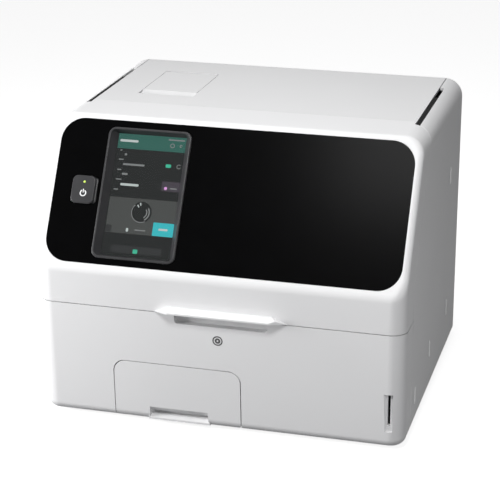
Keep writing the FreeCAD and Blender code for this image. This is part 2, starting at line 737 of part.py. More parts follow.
def side_panel():
    """The right side cover, with the roll of the top and four shallow upright recesses."""
    behind = wing_prism("side_behind", "seam_gap / 2", False)
    outer = box("side_zone", ("%s + seam_gap" % DECK_HALF, "width"), ("-depth", "depth"), ("-20", ABOVE))
    shell = common("side_shell", skin, common("side_part", behind, outer))
    slot = box("arm_slot", (DECK_HALF, "%s + slot_width" % DECK_HALF), ("%s - 2 * wall" % SLOT_FROM, SLOT_TO), ("%s - 60" % TOP, ABOVE))
    studs = [rod("side_stud_%d" % number, "X", (FRAME_OUT, y, z), "width / 2 - wall / 2 - %s" % FRAME_OUT, "5")
             for number, (y, z) in enumerate(side_studs(), start=1)]
    marks = [box("side_mark_%d" % number, ("width / 2 - mark_deep", "width"), (y, "%s + mark_wide" % y), (z, "%s + mark_tall" % z))
             for number, (y, z) in enumerate(side_marks(), start=1)]
    return cut("side_panel_right", fuse("side_solid", [shell] + studs), [slot] + marks)


def side_marks():
    """The near lower corners of the four upright grip recesses in a side cover."""
    rear_y = "%s - mark_rear" % REAR
    return [(rear_y, "mark_high"), ("%s + 5" % rear_y, "mark_low"), ("%s - mark_middle" % REAR, "mark_low - 6"),
            ("%s - mark_front" % REAR, "mark_low - 26")]


FRAME_OUT = "(%s + sheet)" % FRAME_X
BACK_FACE = "(%s - wall - sheet)" % REAR


def side_studs():
    """Where the side covers are screwed to the side frames."""
    return [("%s + frame_front + 22" % NOSE, "foot_gap + 60"), ("%s - 40" % REAR, "foot_gap + 60"),
            ("%s - 40" % REAR, "%s - 60" % FRAME_TOP), ("0", "%s - 60" % FRAME_TOP)]


def side_frame():
    """The right steel frame, bent out at the foot, that carries deck, arms and covers."""
    front = "%s + frame_front" % NOSE
    plate = prism("frame_plate", "YZ", [
        (front, PLATE),
        (front, NOSE_Z),
        ("%s + (%s - %s) * face_run / %s" % (front, FRAME_TOP, NOSE_Z, RISE), FRAME_TOP),
        (BACK_FACE, FRAME_TOP),
        (BACK_FACE, PLATE),
    ], FRAME_X, FRAME_OUT)
    bore = rod("frame_bore", "X", ("%s - 5" % FRAME_X, PIVOT_Y, PIVOT_Z), "sheet + 10", "pin_radius + 0.02")
    return cut("side_frame_right", plate, [bore])


DRAWER_LEFT = "(drawer_left - width / 2)"
DRAWER_RIGHT = "(drawer_left + drawer_width - width / 2)"


def drawer_zone(name, grow):
    """The outline of the drawer's front, seen from the front."""
    block = box(name + "_block", ("%s - (%s)" % (DRAWER_LEFT, grow), "%s + (%s)" % (DRAWER_RIGHT, grow)),
                ("%s - 40" % NOSE, "%s + skirt_lean + 16 + (%s)" % (NOSE, grow)),
                ("foot_gap - drawer_foot - (%s)" % grow, "drawer_top + (%s)" % grow))
    more = 0 if grow == "0" else size.drawer_gap

    def corner(samples):
        if not lengthwise(samples):
            return False
        return (size.drawer_corner if samples[0].z > size.drawer_top / 2 else size.drawer_foot_corner) + more

    return rounded(name, block, True, corner)


CARD_X = "(width / 2 - card_inset)"
CARD_RIGHT = "(%s + 5)" % CARD_X
CARD_LEFT = "(%s - card_recess)" % CARD_RIGHT
CARD_SLIT = ("%s - card_width / 2" % CARD_X, "%s + card_width / 2" % CARD_X)


def lower_front_cover():
    """The fixed lower front with the drawer's opening, the hand scoop and the card slot."""
    ahead = wing_prism("lower_ahead", "-seam_gap / 2", True)
    under = box("lower_under", ("-width", "width"), ("-depth", "depth"), ("-20", "seam_height - seam_gap / 2"))
    shell = common("lower_shell", skin, common("lower_zone", ahead, under))
    scoop_x = ("lip_centre - scoop_width / 2", "lip_centre + scoop_width / 2")
    scoop_back = box("scoop_back", ("%s - 3" % scoop_x[0], "%s + 3" % scoop_x[1]),
                     ("%s + wall" % NOSE, "%s + scoop_deep + 6" % NOSE),
                     ("seam_height - scoop_tall - 3", "seam_height - seam_gap / 2"))
    card_back = box("card_back", ("%s - 2" % CARD_LEFT, "%s + 1" % CARD_RIGHT), ("%s + skirt_lean + 1" % NOSE, "%s + 16" % NOSE),
                    ("card_low - card_margin - 2", "card_low + card_tall + 4"))
    solid = fuse("lower_solid", [shell, scoop_back, card_back])
    scoop = rounded("scoop", box("scoop_block", scoop_x, ("%s - 20" % NOSE, "%s + scoop_deep + 3" % NOSE),
                                 ("seam_height - scoop_tall", "seam_height + 20")), 4, low_lengthwise)
    opening = drawer_zone("drawer_opening", "drawer_gap")
    card_dish = prism("card_dish", "XY", [
        (CARD_LEFT, "%s - 20" % NOSE),
        (CARD_RIGHT, "%s - 20" % NOSE),
        (CARD_RIGHT, "%s + 10.5" % NOSE),
        ("%s + card_slope" % CARD_LEFT, "%s + 10.5" % NOSE),
        (CARD_LEFT, "%s + 5.5" % NOSE),
    ], "card_low - card_margin", "card_low + card_tall + 2")
    card_slit = box("card_slit", CARD_SLIT, ("%s - 20" % NOSE, "%s + 40" % NOSE),
                    ("card_low", "card_low + card_tall"))
    return cut("lower_front_cover", solid, [scoop, opening, card_dish, card_slit])


def low_lengthwise(samples):
    """Whether an edge lies along Y at the foot of the scoop."""
    return lengthwise(samples) and samples[0].z < size.seam_height


def waste_drawer():
    """The drawer: its front is cut from the casing's own form, with a finger notch and a tray behind."""
    front = common("drawer_front", skin, drawer_zone("drawer_outline", "0"))
    notch_x = ("notch_left + %s" % DRAWER_LEFT, "notch_left + notch_width + %s" % DRAWER_LEFT)
    backing = box("notch_backing", ("%s - 2" % notch_x[0], "%s + 2" % notch_x[1]),
                  ("%s + skirt_lean + 1" % NOSE, "%s + skirt_lean + notch_deep" % NOSE), ("foot_gap + wall / 2", "notch_top + 2"))
    tray = box("tray_block", (TRAY_LEFT, TRAY_RIGHT), ("%s + skirt_lean + 2" % NOSE, "%s + bin_length" % TRAY_FRONT),
               ("bin_floor - bin_wall", "bin_floor + 18"))
    room = box("tray_room", ("%s + bin_wall" % TRAY_LEFT, "%s - bin_wall" % TRAY_RIGHT),
               ("%s + skirt_lean + notch_deep" % NOSE, "%s + bin_length - bin_wall" % TRAY_FRONT), ("bin_floor", "bin_floor + 60"))
    face = "(%s + skirt_lean)" % NOSE
    dish = prism("notch_dish", "YZ", [
        ("%s - 20" % NOSE, "foot_gap + 3"),
        (face, "foot_gap + 4"),
        ("%s + 9" % face, "notch_floor"),
        ("%s + 9" % face, "notch_mouth"),
        ("%s + 4" % face, "notch_mouth"),
        ("%s - 2" % face, "notch_top"),
        ("%s - 20" % NOSE, "notch_top"),
    ], notch_x[0], notch_x[1])
    hook = box("notch_hook", ("%s + 3" % notch_x[0], "%s - 3" % notch_x[1]), ("%s + 6" % face, "%s + notch_deep - 2" % face),
               ("notch_floor", "notch_top - 2"))
    return cut("waste_drawer", fuse("drawer_solid", [front, tray, backing]), [room, dish, hook])


TRAY_LEFT = "(%s + 6)" % DRAWER_LEFT
TRAY_RIGHT = "(%s - 6)" % DRAWER_RIGHT
TRAY_FRONT = "(%s + skirt_lean + 3)" % NOSE


def waste_bin():
    """The removable bin that stands in the drawer's tray."""
    left = "%s + bin_wall + fit" % TRAY_LEFT
    right = "%s - bin_wall - fit" % TRAY_RIGHT
    front = "%s + skirt_lean + notch_deep + fit" % NOSE
    back = "%s + bin_length - bin_wall - fit" % TRAY_FRONT
    block = box("bin_block", (left, right), (front, back), ("bin_floor", "drawer_top - 6"))
    soft = rounded("bin_soft", block, 6, upright)
    room = box("bin_room_block", ("%s + bin_wall" % left, "%s - bin_wall" % right),
               ("%s + bin_wall" % front, "%s - bin_wall" % back), ("bin_floor + bin_wall", "drawer_top + 20"))
    return cut("waste_bin", soft, [rounded("bin_room", room, 4, upright)])


def drawer_runner(name, side):
    """A runner: an angle on the base that guides the drawer's tray and holds its rim down."""
    face = "(%s + fit)" % TRAY_RIGHT if side > 0 else "(%s - fit)" % TRAY_LEFT

    def reach(inwards, outwards):
        span = ("%s - %s" % (face, inwards), "%s + %s" % (face, outwards))
        return span if side > 0 else ("%s - %s" % (face, outwards), "%s + %s" % (face, inwards))

    y = ("%s + 30" % NOSE, "%s + bin_length + 4" % TRAY_FRONT)
    foot = box(name + "_foot", reach("0", "12"), y, (PLATE, "%s + runner_wall" % PLATE))
    guide = box(name + "_guide", reach("0", "runner_wall"), y, (PLATE, "bin_floor + 20"))
    rail = box(name + "_rail", reach("bin_wall", "runner_wall"), y, ("bin_floor + 18.4", "bin_floor + 20"))
    return fuse(name, [foot, guide, rail])


def card_reader():
    """The card unit behind its slot."""
    x = ("%s - 5" % CARD_X, CARD_RIGHT)
    y = ("%s + 16" % NOSE, "%s + 16 + card_unit_length" % NOSE)
    body = box("card_body", x, y, (PLATE, "card_low + card_tall + 5"))
    throat = box("card_throat", CARD_SLIT, ("%s + 10" % NOSE, "%s - 4" % y[1]),
                 ("card_low", "card_low + card_tall"))
    return cut("card_reader", body, [throat])


def base_tray():
    """The bottom plate with its turned-up front and rear edges."""
    half = "%s - 0.8" % FRAME_OUT
    plate = box("tray_plate", ("-(%s)" % half, half), ("%s + 30" % NOSE, "%s - 5" % BACK_FACE), (FLOOR, PLATE))
    rear = box("tray_rear", ("-%s" % DECK_HALF, DECK_HALF), ("%s - 5 - sheet" % BACK_FACE, BACK_FACE), (FLOOR, "%s + 14" % PLATE))
    return fuse("base_tray", [plate, rear])


def work_deck():
    """The plate that the user sees under the open cover, with its wells."""
    plate = box("deck_plate", ("-%s" % FRAME_X, FRAME_X), ("%s + scoop_deep + 6.5" % NOSE, "bulkhead_y"), (DECK_LOW, "deck_top"))
    soft = rounded("deck_soft", plate, size.deck_corner, front_upright)
    chute = box("waste_chute", ("%s - 14" % PARK_X, "%s + 14" % PARK_X), ("nozzle_y - 14", "nozzle_y + 14"), ("100", "200"))
    ring = rod("disc_opening", "Z", ("disc_x", "disc_y", "100"), "100", "disc_radius + 5")
    tab = box("catch_tab", ("%s - 14" % DECK_HALF, "%s - 2" % DECK_HALF), ("%s + 17" % NOSE, "%s + 23" % NOSE),
              ("deck_top - 1", "seam_height + 2 - fit"))
    return cut("work_deck", fuse("deck_raised", [soft, tab, mirrored("catch_tab_left", tab)]), [chute, ring])


PARK_X = "carriage_home"


def front_upright(samples):
    """Whether an edge stands along Z at the front of a plate."""
    return upright(samples) and samples[0].y < -100


def deck_posts():
    """The front posts that hold the deck above the base."""
    places = [("-(%s - 14)" % FRAME_X, "%s + 40" % NOSE), ("%s - 30" % CARD_LEFT, "%s + 40" % NOSE)]
    return group("deck_posts", [rod("deck_post_%d" % number, "Z", (x, y, PLATE), "%s - %s" % (DECK_LOW, PLATE), "5")
                                for number, (x, y) in enumerate(places, start=1)])


def bulkhead():
    """The upright plate between the work space and the electronics."""
    plate = box("bulkhead_plate", ("-%s" % FRAME_X, FRAME_X), ("bulkhead_y", "bulkhead_y + sheet"), (PLATE, "%s - arm_depth - 4" % TOP))
    passage = box("cable_passage", ("60", "100"), ("bulkhead_y - 5", "bulkhead_y + 10"), ("90", "120"))
    shaft_hole = rod("shaft_hole", "Y", (PULLEY_X, "bulkhead_y - 5", BELT_Z), "20", "5")
    idler = rod("idler_stud", "Y", ("-%s" % PULLEY_X, "%s - 2" % BELT_FRONT, BELT_Z), "bulkhead_y + 1 - (%s - 2)" % BELT_FRONT, "2.5")
    collar = rod("idler_collar", "Y", ("-%s" % PULLEY_X, "bulkhead_y - 1.5", BELT_Z), "2.5", "6")
    return fuse("bulkhead", [cut("bulkhead_open", plate, [passage, shaft_hole]), idler, collar])


def sketch_rectangle(body, name, plane, x, y):
    """A rectangle on one of the body's own planes, bound to the sheet."""
    sketch = body.newObject("Sketcher::SketchObject", name)
    origin = [feature for feature in body.Origin.OriginFeatures if feature.Role == plane][0]
    sketch.AttachmentSupport = [(origin, "")]
    sketch.MapMode = "FlatFace"
    corners = [Vector(0, 0, 0), Vector(10, 0, 0), Vector(10, 8, 0), Vector(0, 8, 0)]
    for index in range(4):
        sketch.addGeometry(Part.LineSegment(corners[index], corners[(index + 1) % 4]), False)
    for index in range(4):
        sketch.addConstraint(Sketcher.Constraint("Coincident", index, 2, (index + 1) % 4, 1))
    for index, kind in enumerate(("Horizontal", "Vertical", "Horizontal", "Vertical")):
        sketch.addConstraint(Sketcher.Constraint(kind, index))
    for kind, corner, expression in (("DistanceX", 0, x[0]), ("DistanceY", 0, y[0]), ("DistanceX", 2, x[1]), ("DistanceY", 2, y[1])):
        number = sketch.addConstraint(Sketcher.Constraint(kind, -1, 1, corner, 1, 1.0))
        sketch.setExpression("Constraints[%d]" % number, text(expression))
    return sketch


def sketch_circle(body, name, plane, x, y, radius):
    """A circle on one of the body's own planes, bound to the sheet."""
    sketch = body.newObject("Sketcher::SketchObject", name)
    origin = [feature for feature in body.Origin.OriginFeatures if feature.Role == plane][0]
    sketch.AttachmentSupport = [(origin, "")]
    sketch.MapMode = "FlatFace"
    sketch.addGeometry(Part.Circle(Vector(3, 3, 0), Vector(0, 0, 1), 5), False)
    for constraint, expression in ((Sketcher.Constraint("DistanceX", -1, 1, 0, 3, 3.0), x),
                                   (Sketcher.Constraint("DistanceY", -1, 1, 0, 3, 3.0), y),
                                   (Sketcher.Constraint("Radius", 0, 5.0), radius)):
        number = sketch.addConstraint(constraint)
        sketch.setExpression("Constraints[%d]" % number, text(expression))
    return sketch


def pad(body, name, sketch, length):
    """A pad of a sketch, its length bound to the sheet."""
    feature = body.newObject("PartDesign::Pad", name)
    feature.Profile = sketch
    return bind(feature, Length=length)


def pocket(body, name, sketch, length, reverse):
    """A pocket of a sketch that must take material away."""
    doc.recompute()
    before = body.Shape.Volume
    feature = body.newObject("PartDesign::Pocket", name)
    feature.Profile = sketch
    feature.Reversed = reverse
    bind(feature, Length=length)
    doc.recompute()
    if body.Shape.Volume > before - 1e-3:
        raise ValueError(name + " takes nothing away")
    return feature


def rear_panel():
    """The steel back plate with its vent slots, fan opening and holes for the inlet and ports."""
    body = doc.addObject("PartDesign::Body", "rear_panel")
    body.Placement = Placement(Vector(), ALONG)
    body.setExpression("Placement.Base.y", text("%s - wall" % REAR))
    outline = sketch_rectangle(body, "rear_outline", "XY_Plane", ("-%s" % FRAME_OUT, FRAME_OUT), ("%s + 4" % PLATE, FRAME_TOP))
    pad(body, "rear_plate", outline, "sheet")
    slot = sketch_rectangle(body, "vent_slot", "XY_Plane", ("-170", "-110"), ("%s - vent_drop - 4" % TOP, "%s - vent_drop" % TOP))
    vents = pocket(body, "vent", slot, "4 * sheet", True)
    rows = body.newObject("PartDesign::LinearPattern", "vent_rows")
    rows.Originals = [vents]
    rows.Direction = (slot, ["V_Axis"])
    bind(rows, Length="(vent_count - 1) * vent_pitch")
    rows.Occurrences = int(size.vent_count)
    body.Tip = rows
    fan = sketch_circle(body, "fan_opening", "XY_Plane", "fan_x", FAN_Z, "fan_size / 2 - 3")
    pocket(body, "fan_hole", fan, "4 * sheet", True)
    inlet = sketch_rectangle(body, "inlet_opening", "XY_Plane", (INLET_X[0], INLET_X[1]), (INLET_Z[0], INLET_Z[1]))
    pocket(body, "inlet_hole", inlet, "4 * sheet", True)
    rocker = sketch_rectangle(body, "switch_opening", "XY_Plane", (ROCKER_X[0], ROCKER_X[1]), (ROCKER_Z[0], ROCKER_Z[1]))
    pocket(body, "switch_hole", rocker, "4 * sheet", True)
    ports = sketch_rectangle(body, "port_opening", "XY_Plane", (PORT_X[0], PORT_X[1]), (PORT_Z[0], PORT_Z[1]))
    pocket(body, "port_hole", ports, "4 * sheet", True)
    return body


INLET_X = ("(inlet_inset - width / 2)", "(inlet_inset + inlet_width - width / 2)")
INLET_Z = ("inlet_low", "(inlet_low + inlet_tall)")
INLET_MIDDLE = "(inlet_inset + inlet_width / 2 - width / 2)"
ROCKER_X = ("(%s + switch_space)" % INLET_X[1], "(%s + switch_space + switch_width)" % INLET_X[1])
ROCKER_Z = ("(inlet_low + inlet_tall / 2 - switch_tall / 2)", "(inlet_low + inlet_tall / 2 + switch_tall / 2)")
PORT_X = ("(-port_left)", "(port_width - port_left)")
PORT_Z = ("inlet_low", "(inlet_low + port_tall)")


def rubber_feet():
    """Four turned rubber feet, pushed into the base from below."""
    body = doc.addObject("PartDesign::Body", "foot_body")
    sketch = body.newObject("Sketcher::SketchObject", "foot_profile")
    origin = [feature for feature in body.Origin.OriginFeatures if feature.Role == "XZ_Plane"][0]
    sketch.AttachmentSupport = [(origin, "")]
    sketch.MapMode = "FlatFace"
    corners = [("0", "0"), ("foot_radius - 2", "0"), ("foot_radius", "2"), ("foot_radius - 1.5", FLOOR), ("0", FLOOR)]
    places = [Vector(0, 0, 0), Vector(12, 0, 0), Vector(14, 2, 0), Vector(12.5, 8, 0), Vector(0, 8, 0)]
    for index in range(5):
        sketch.addGeometry(Part.LineSegment(places[index], places[(index + 1) % 5]), False)
    for index in range(5):
        sketch.addConstraint(Sketcher.Constraint("Coincident", index, 2, (index + 1) % 5, 1))
    for index, (x, z) in enumerate(corners):
        for kind, expression in (("DistanceX", x), ("DistanceY", z)):
            number = sketch.addConstraint(Sketcher.Constraint(kind, -1, 1, index, 1, 1.0))
            sketch.setExpression("Constraints[%d]" % number, text(expression))
    turned = body.newObject("PartDesign::Revolution", "foot_turned")
    turned.Profile = sketch
    turned.ReferenceAxis = (sketch, ["V_Axis"])
    turned.Angle = 360
    body.Tip = turned
    feet = []
    for number, (side, y) in enumerate((side, y) for side in ("-1", "1") for y in FOOT_ROWS):
        link = doc.addObject("Part::Compound", "foot_%d" % number)
        link.Links = [body]
        feet.append(move(link, "%s * (width / 2 - foot_inset)" % side, y))
    return group("rubber_feet", feet)


FOOT_ROWS = ("(%s + foot_inset + 27)" % NOSE, "(%s - foot_inset - 5)" % REAR)


INLET_PINS = [("(%s + %s)" % (INLET_MIDDLE, across), "(inlet_low + %s)" % up)
              for across, up in (("0", "12"), ("-6.75", "7"), ("6.75", "7"))]


def mains_inlet():
    """The three-pin inlet in the back plate, with a cavity for the connector."""
    flange = box("inlet_flange", ("%s - 8" % INLET_X[0], "%s + 8" % INLET_X[1]), ("%s - wall" % REAR, "%s - wall + 2" % REAR),
                 ("%s - 2" % INLET_Z[0], "%s + 2" % INLET_Z[1]))
    shell = box("inlet_shell", ("%s + 0.2" % INLET_X[0], "%s - 0.2" % INLET_X[1]), ("%s - 22" % BACK_FACE, "%s - wall + 2" % REAR),
                ("%s + 0.2" % INLET_Z[0], "%s - 0.2" % INLET_Z[1]))
    room = box("inlet_room", ("%s + 2" % INLET_X[0], "%s - 2" % INLET_X[1]), ("%s - 16" % BACK_FACE, "depth"),
               ("%s + 2" % INLET_Z[0], "%s - 2" % INLET_Z[1]))
    pins = [box("inlet_pin_%d" % number, ("%s - 1" % x, "%s + 1" % x), ("%s - 17" % BACK_FACE, "%s - wall - 1" % REAR),
                ("%s - 2" % z, "%s + 2" % z))
            for number, (x, z) in enumerate(INLET_PINS, start=1)]
    hollow = cut("inlet_hollow", fuse("inlet_solid", [flange, shell]), [rounded("inlet_soft", room, 3, lengthwise)])
    return fuse("mains_inlet", [hollow] + pins)


def switch_housing():
    """The frame of the mains switch."""
    flange = box("housing_flange", ("%s - 2" % ROCKER_X[0], "%s + 2" % ROCKER_X[1]), ("%s - wall" % REAR, "%s - wall + 2" % REAR),
                 ("%s - 2" % ROCKER_Z[0], "%s + 2" % ROCKER_Z[1]))
    shell = box("housing_shell", ("%s + 0.2" % ROCKER_X[0], "%s - 0.2" % ROCKER_X[1]), ("%s - 16" % BACK_FACE, "%s - wall + 2" % REAR),
                ("%s + 0.2" % ROCKER_Z[0], "%s - 0.2" % ROCKER_Z[1]))
    room = box("housing_room", ("%s + 2" % ROCKER_X[0], "%s - 2" % ROCKER_X[1]), ("%s - 12" % BACK_FACE, "depth"),
               ("%s + 2" % ROCKER_Z[0], "%s - 2" % ROCKER_Z[1]))
    return cut("switch_housing", fuse("housing_solid", [flange, shell]), [room])


ROCKER_AXIS_Y = "(%s - wall - 4)" % REAR


def mains_rocker():
    """The rocker of the mains switch, a shallow V on a cross pin."""
    x = ("%s + 2.6" % ROCKER_X[0], "%s - 2.6" % ROCKER_X[1])
    axis_z = "(%s + %s) / 2" % ROCKER_Z
    wedge = prism("rocker_wedge", "YZ", [
        ("%s - 4" % ROCKER_AXIS_Y, "%s - 4" % axis_z),
        ("%s + 4" % ROCKER_AXIS_Y, "%s - 9.5" % axis_z),
        ("%s + 7.5" % ROCKER_AXIS_Y, "%s - 9.5" % axis_z),
        ("%s + 4.5" % ROCKER_AXIS_Y, axis_z),
        ("%s + 5" % ROCKER_AXIS_Y, "%s + 9.5" % axis_z),
        ("%s + 1.5" % ROCKER_AXIS_Y, "%s + 9.5" % axis_z),
        ("%s - 4" % ROCKER_AXIS_Y, "%s + 4" % axis_z),
    ], x[0], x[1])
    pin = rod("rocker_pin", "X", ("%s + 2.1" % ROCKER_X[0], ROCKER_AXIS_Y, axis_z), "%s - %s - 4.2" % (ROCKER_X[1], ROCKER_X[0]), "1.5")
    return fuse("mains_rocker", [wedge, pin])


def port_block():
    """The block of data sockets in the back plate."""
    block = box("port_solid", ("%s + 0.2" % PORT_X[0], "%s - 0.2" % PORT_X[1]), ("%s - 14" % BACK_FACE, "%s - wall" % REAR),
                ("%s + 0.2" % PORT_Z[0], "%s - 0.2" % PORT_Z[1]))
    rooms = []
    for number, low in enumerate(("9", "9", "3", "3", "9")):
        x = "%s + 4 + %d * port_pitch" % (PORT_X[0], number)
        rooms.append(box("port_room_%d" % (number + 1), (x, "%s + 13" % x), ("%s - 11" % BACK_FACE, "depth"),
                         ("%s + 3" % PORT_Z[0], "%s - %s" % (PORT_Z[1], low))))
    return cut("port_block", block, rooms)


def cooling_fan():
    """The square fan housing behind the back plate, with its hub on four struts."""
    half = "fan_size / 2"
    y = ("%s - fan_deep" % BACK_FACE, BACK_FACE)
    block = box("fan_block", ("fan_x - %s" % half, "fan_x + %s" % half), y, ("%s - %s" % (FAN_Z, half), "%s + %s" % (FAN_Z, half)))
    soft = rounded("fan_soft", block, 4, lengthwise)
    duct = rod("fan_duct", "Y", ("fan_x", "%s - 5" % y[0], FAN_Z), "fan_deep + 10", "%s - 2.5" % half)
    ring = cut("fan_ring", soft, [duct])
    struts = [box("fan_strut_level", ("fan_x - %s + 2" % half, "fan_x + %s - 2" % half), (y[0], "%s + 3" % y[0]), ("%s - 1.5" % FAN_Z, "%s + 1.5" % FAN_Z)),
              box("fan_strut_upright", ("fan_x - 1.5", "fan_x + 1.5"), (y[0], "%s + 3" % y[0]), ("%s - %s + 2" % (FAN_Z, half), "%s + %s - 2" % (FAN_Z, half)))]
    hub = rod("fan_hub", "Y", ("fan_x", y[0], FAN_Z), "4", "14")
    spindle = rod("fan_spindle", "Y", ("fan_x", y[0], FAN_Z), "16", "2")
    return fuse("fan_housing", [ring, hub, spindle] + struts)


def fan_rotor():
    """The fan's hub cup with its twisted blades."""
    start = "%s - fan_deep + 5" % BACK_FACE
    cup = rod("rotor_cup", "Y", ("fan_x", start, FAN_Z), "fan_deep - 8", "fan_hub")
    bore = rod("rotor_bore", "Y", ("fan_x", "%s - 1" % start, FAN_Z), "13", "2.06")
    doc.recompute()
    low = -size.fan_deep + 8 + size.depth / 2 - size.wall - size.sheet
    high = size.foot_gap + size.body_height - size.fan_drop
    blades = []
    for number in range(int(size.blade_count)):
        sections = []
        for radius, pitch in ((size.fan_hub - 1, size.blade_root_pitch), (size.fan_size / 2 - 5.5, size.blade_tip_pitch)):
            half = (size.fan_deep - 14) / 2
            turn = Rotation(Vector(0, 1, 0), 360.0 * number / size.blade_count)
            lean = half * math.tan(math.radians(90 - pitch)) * 0.45
            corners = [Vector(radius, -half, -lean - 0.6), Vector(radius, -half, -lean + 0.6),
                       Vector(radius, half, lean + 0.6), Vector(radius, half, lean - 0.6)]
            placed = [turn.multVec(corner) + Vector(size.fan_x, low + half, high) for corner in corners]
            sections.append(Part.makePolygon(placed + [placed[0]]))
        blades.append(Part.makeLoft(sections, True, True))
    blade_set = doc.addObject("Part::Feature", "rotor_blades")
    blade_set.Shape = Part.makeCompound(blades)
    return cut("fan_rotor", fuse("rotor_solid", [cup, blade_set]), [bore])


def power_supply():
    """The caged power supply on the base."""
    block = box("supply_block", ("20", "190"), ("40", "150"), (PLATE, "%s + 62" % PLATE))
    slots = [box("supply_slot_%d" % number, ("34 + %d * 14" % number, "40 + %d * 14" % number), ("60", "130"),
                 ("%s + 60" % PLATE, "200")) for number in range(10)]
    return cut("power_supply", block, slots)


def main_board():
    """The main board on standoffs behind the bulkhead."""
    start = "bulkhead_y + sheet"
    right = "(%s - motor_size / 2 - 19)" % PULLEY_X
    high_edge = "(%s - 47)" % TOP
    board = box("board_plate", ("-60", right), ("%s + 6" % start, "%s + 7.6" % start), ("110", high_edge))
    standoffs = [rod("board_standoff_%d" % number, "Y", (x, start, z), "6.1", "3")
                 for number, (x, z) in enumerate((("-52", "118"), ("%s - 8" % right, "118"), ("-52", "%s - 8" % high_edge), ("%s - 8" % right, "%s - 8" % high_edge)), start=1)]
    chips = [box("board_chip_%d" % number, (x, "%s + %s" % (x, wide)), ("%s + 7.5" % start, "%s + %s" % (start, high)), (z, "%s + %s" % (z, tall)))
             for number, (x, wide, z, tall, high) in enumerate((("-20", "40", "%s - 80" % high_edge, "40", "12"), ("50", "22", "%s - 80" % high_edge, "22", "10"),
                                                               ("90", "60", "170", "10", "16"), ("-30", "50", "150", "12", "18"),
                                                               ("96", "50", "%s - 50" % high_edge, "30", "22")), start=1)]
    return fuse("main_board", [board] + standoffs + chips)


def printer_body():
    """The printer under the lid: a bucket for the roll and a print head at the platen."""
    x = ("%s - 1.9" % LID_LEFT, "%s + 1.9" % LID_RIGHT)
    block = box("printer_block", x, ("bulkhead_y + sheet", ROLL_Y + " + 30"), ("%s - 30" % ROLL_Z, "%s - 3 * wall - fit" % TOP))
    well = rod("printer_well", "X", ("%s + lid_gap" % LID_LEFT, ROLL_Y, ROLL_Z), "lid_width - 2 * lid_gap", "roll_paper_radius + 2")
    mouth = box("printer_mouth", ("%s + lid_gap" % LID_LEFT, "%s - lid_gap" % LID_RIGHT), ("%s - 26" % ROLL_Y, "%s + 26" % ROLL_Y), (ROLL_Z, ABOVE))
    platen_bay = box("platen_bay", (LID_LEFT, LID_RIGHT), ("%s + 46" % LID_FRONT, "%s + 78" % LID_FRONT), ("%s - 20" % TOP, ABOVE))
    ramp_bay = box("ramp_bay", (LID_LEFT, LID_RIGHT), (LID_FRONT, "%s + 48" % LID_FRONT), ("%s - 12" % TOP, ABOVE))
    hollow = cut("printer_hollow", block, [well, mouth, platen_bay, ramp_bay])
    head = box("print_head", ("%s + 8" % LID_LEFT, "%s - 8" % LID_RIGHT), ("%s + 55" % LID_FRONT, "%s + 67" % LID_FRONT),
               ("%s - 21" % TOP, "%s - 11 - platen_radius - fit" % TOP))
    return fuse("printer_body", [hollow, head])


ROLL_Y = "(%s + 96)" % LID_FRONT
ROLL_Z = "(%s - 44)" % TOP


def paper_roll():
    """A roll of chart paper on its core, resting in the bucket."""
    start = ("%s + 7" % LID_LEFT, ROLL_Y, "%s - 1.7" % ROLL_Z)
    paper = rod("paper_turns", "X", start, "lid_width - 14", "roll_paper_radius")
    hole = rod("paper_hole", "X", ("%s + 6" % LID_LEFT, start[1], start[2]), "lid_width - 12", "roll_core_radius")
    return cut("paper_roll", paper, [hole])


def guide_rods():
    """The two ground rods that the sampler runs on."""
    return group("guide_rods", [rod("guide_rod_%d" % number, "X", ("-%s" % FRAME_X, "rod_y", "%s + %d * rod_pitch" % (ROD_LOW, number)),
                                    "2 * %s" % FRAME_X, "rod_radius") for number in range(2)])


CARRIAGE_BACK = "(rod_y + 14)"
CARRIAGE_FACE = "(rod_y - 14)"
BELT_Z = "(%s + rod_pitch / 2)" % ROD_LOW
BELT_FRONT = "(%s + 2)" % CARRIAGE_BACK


def sampler_carriage():
    """The block on the rods, with the belt clamp behind and the upright rail in front."""
    x = ("carriage_home - carriage_width / 2", "carriage_home + carriage_width / 2")
    block = box("carriage_block", x, (CARRIAGE_FACE, CARRIAGE_BACK), ("%s - 13" % ROD_LOW, "%s + rod_pitch + 13" % ROD_LOW))
    soft = rounded("carriage_soft", block, 3, lengthwise)
    rail = box("carriage_rail", ("carriage_home - 4", "carriage_home + 4"), ("%s - 4" % CARRIAGE_FACE, "%s + 2" % CARRIAGE_FACE),
               ("nozzle_tip + 2", "%s + rod_pitch + 13" % ROD_LOW))
    clamp = box("belt_clamp", ("carriage_home - 10", "carriage_home + 10"), ("%s - 1" % CARRIAGE_BACK, "%s + belt_width + 1.5" % BELT_FRONT),
                ("%s + pulley_radius - 3" % BELT_Z, "%s + pulley_radius + belt_thick + 3" % BELT_Z))
    bores = [rod("carriage_bore_%d" % number, "X", ("%s - 5" % x[0], "rod_y", "%s + %d * rod_pitch" % (ROD_LOW, number)),
                 "carriage_width + 10", "rod_radius + 0.06") for number in range(2)]
    bite = box("clamp_slot", ("carriage_home - 20", "carriage_home + 20"), ("%s - fit" % BELT_FRONT, "%s + belt_width + fit" % BELT_FRONT),
               ("%s + pulley_radius - fit" % BELT_Z, "%s + pulley_radius + belt_thick + fit" % BELT_Z))
    return cut("sampler_carriage", fuse("carriage_solid", [soft, rail, clamp]), bores + [bite])


HEAD_FACE = "(%s - fit)" % CARRIAGE_FACE


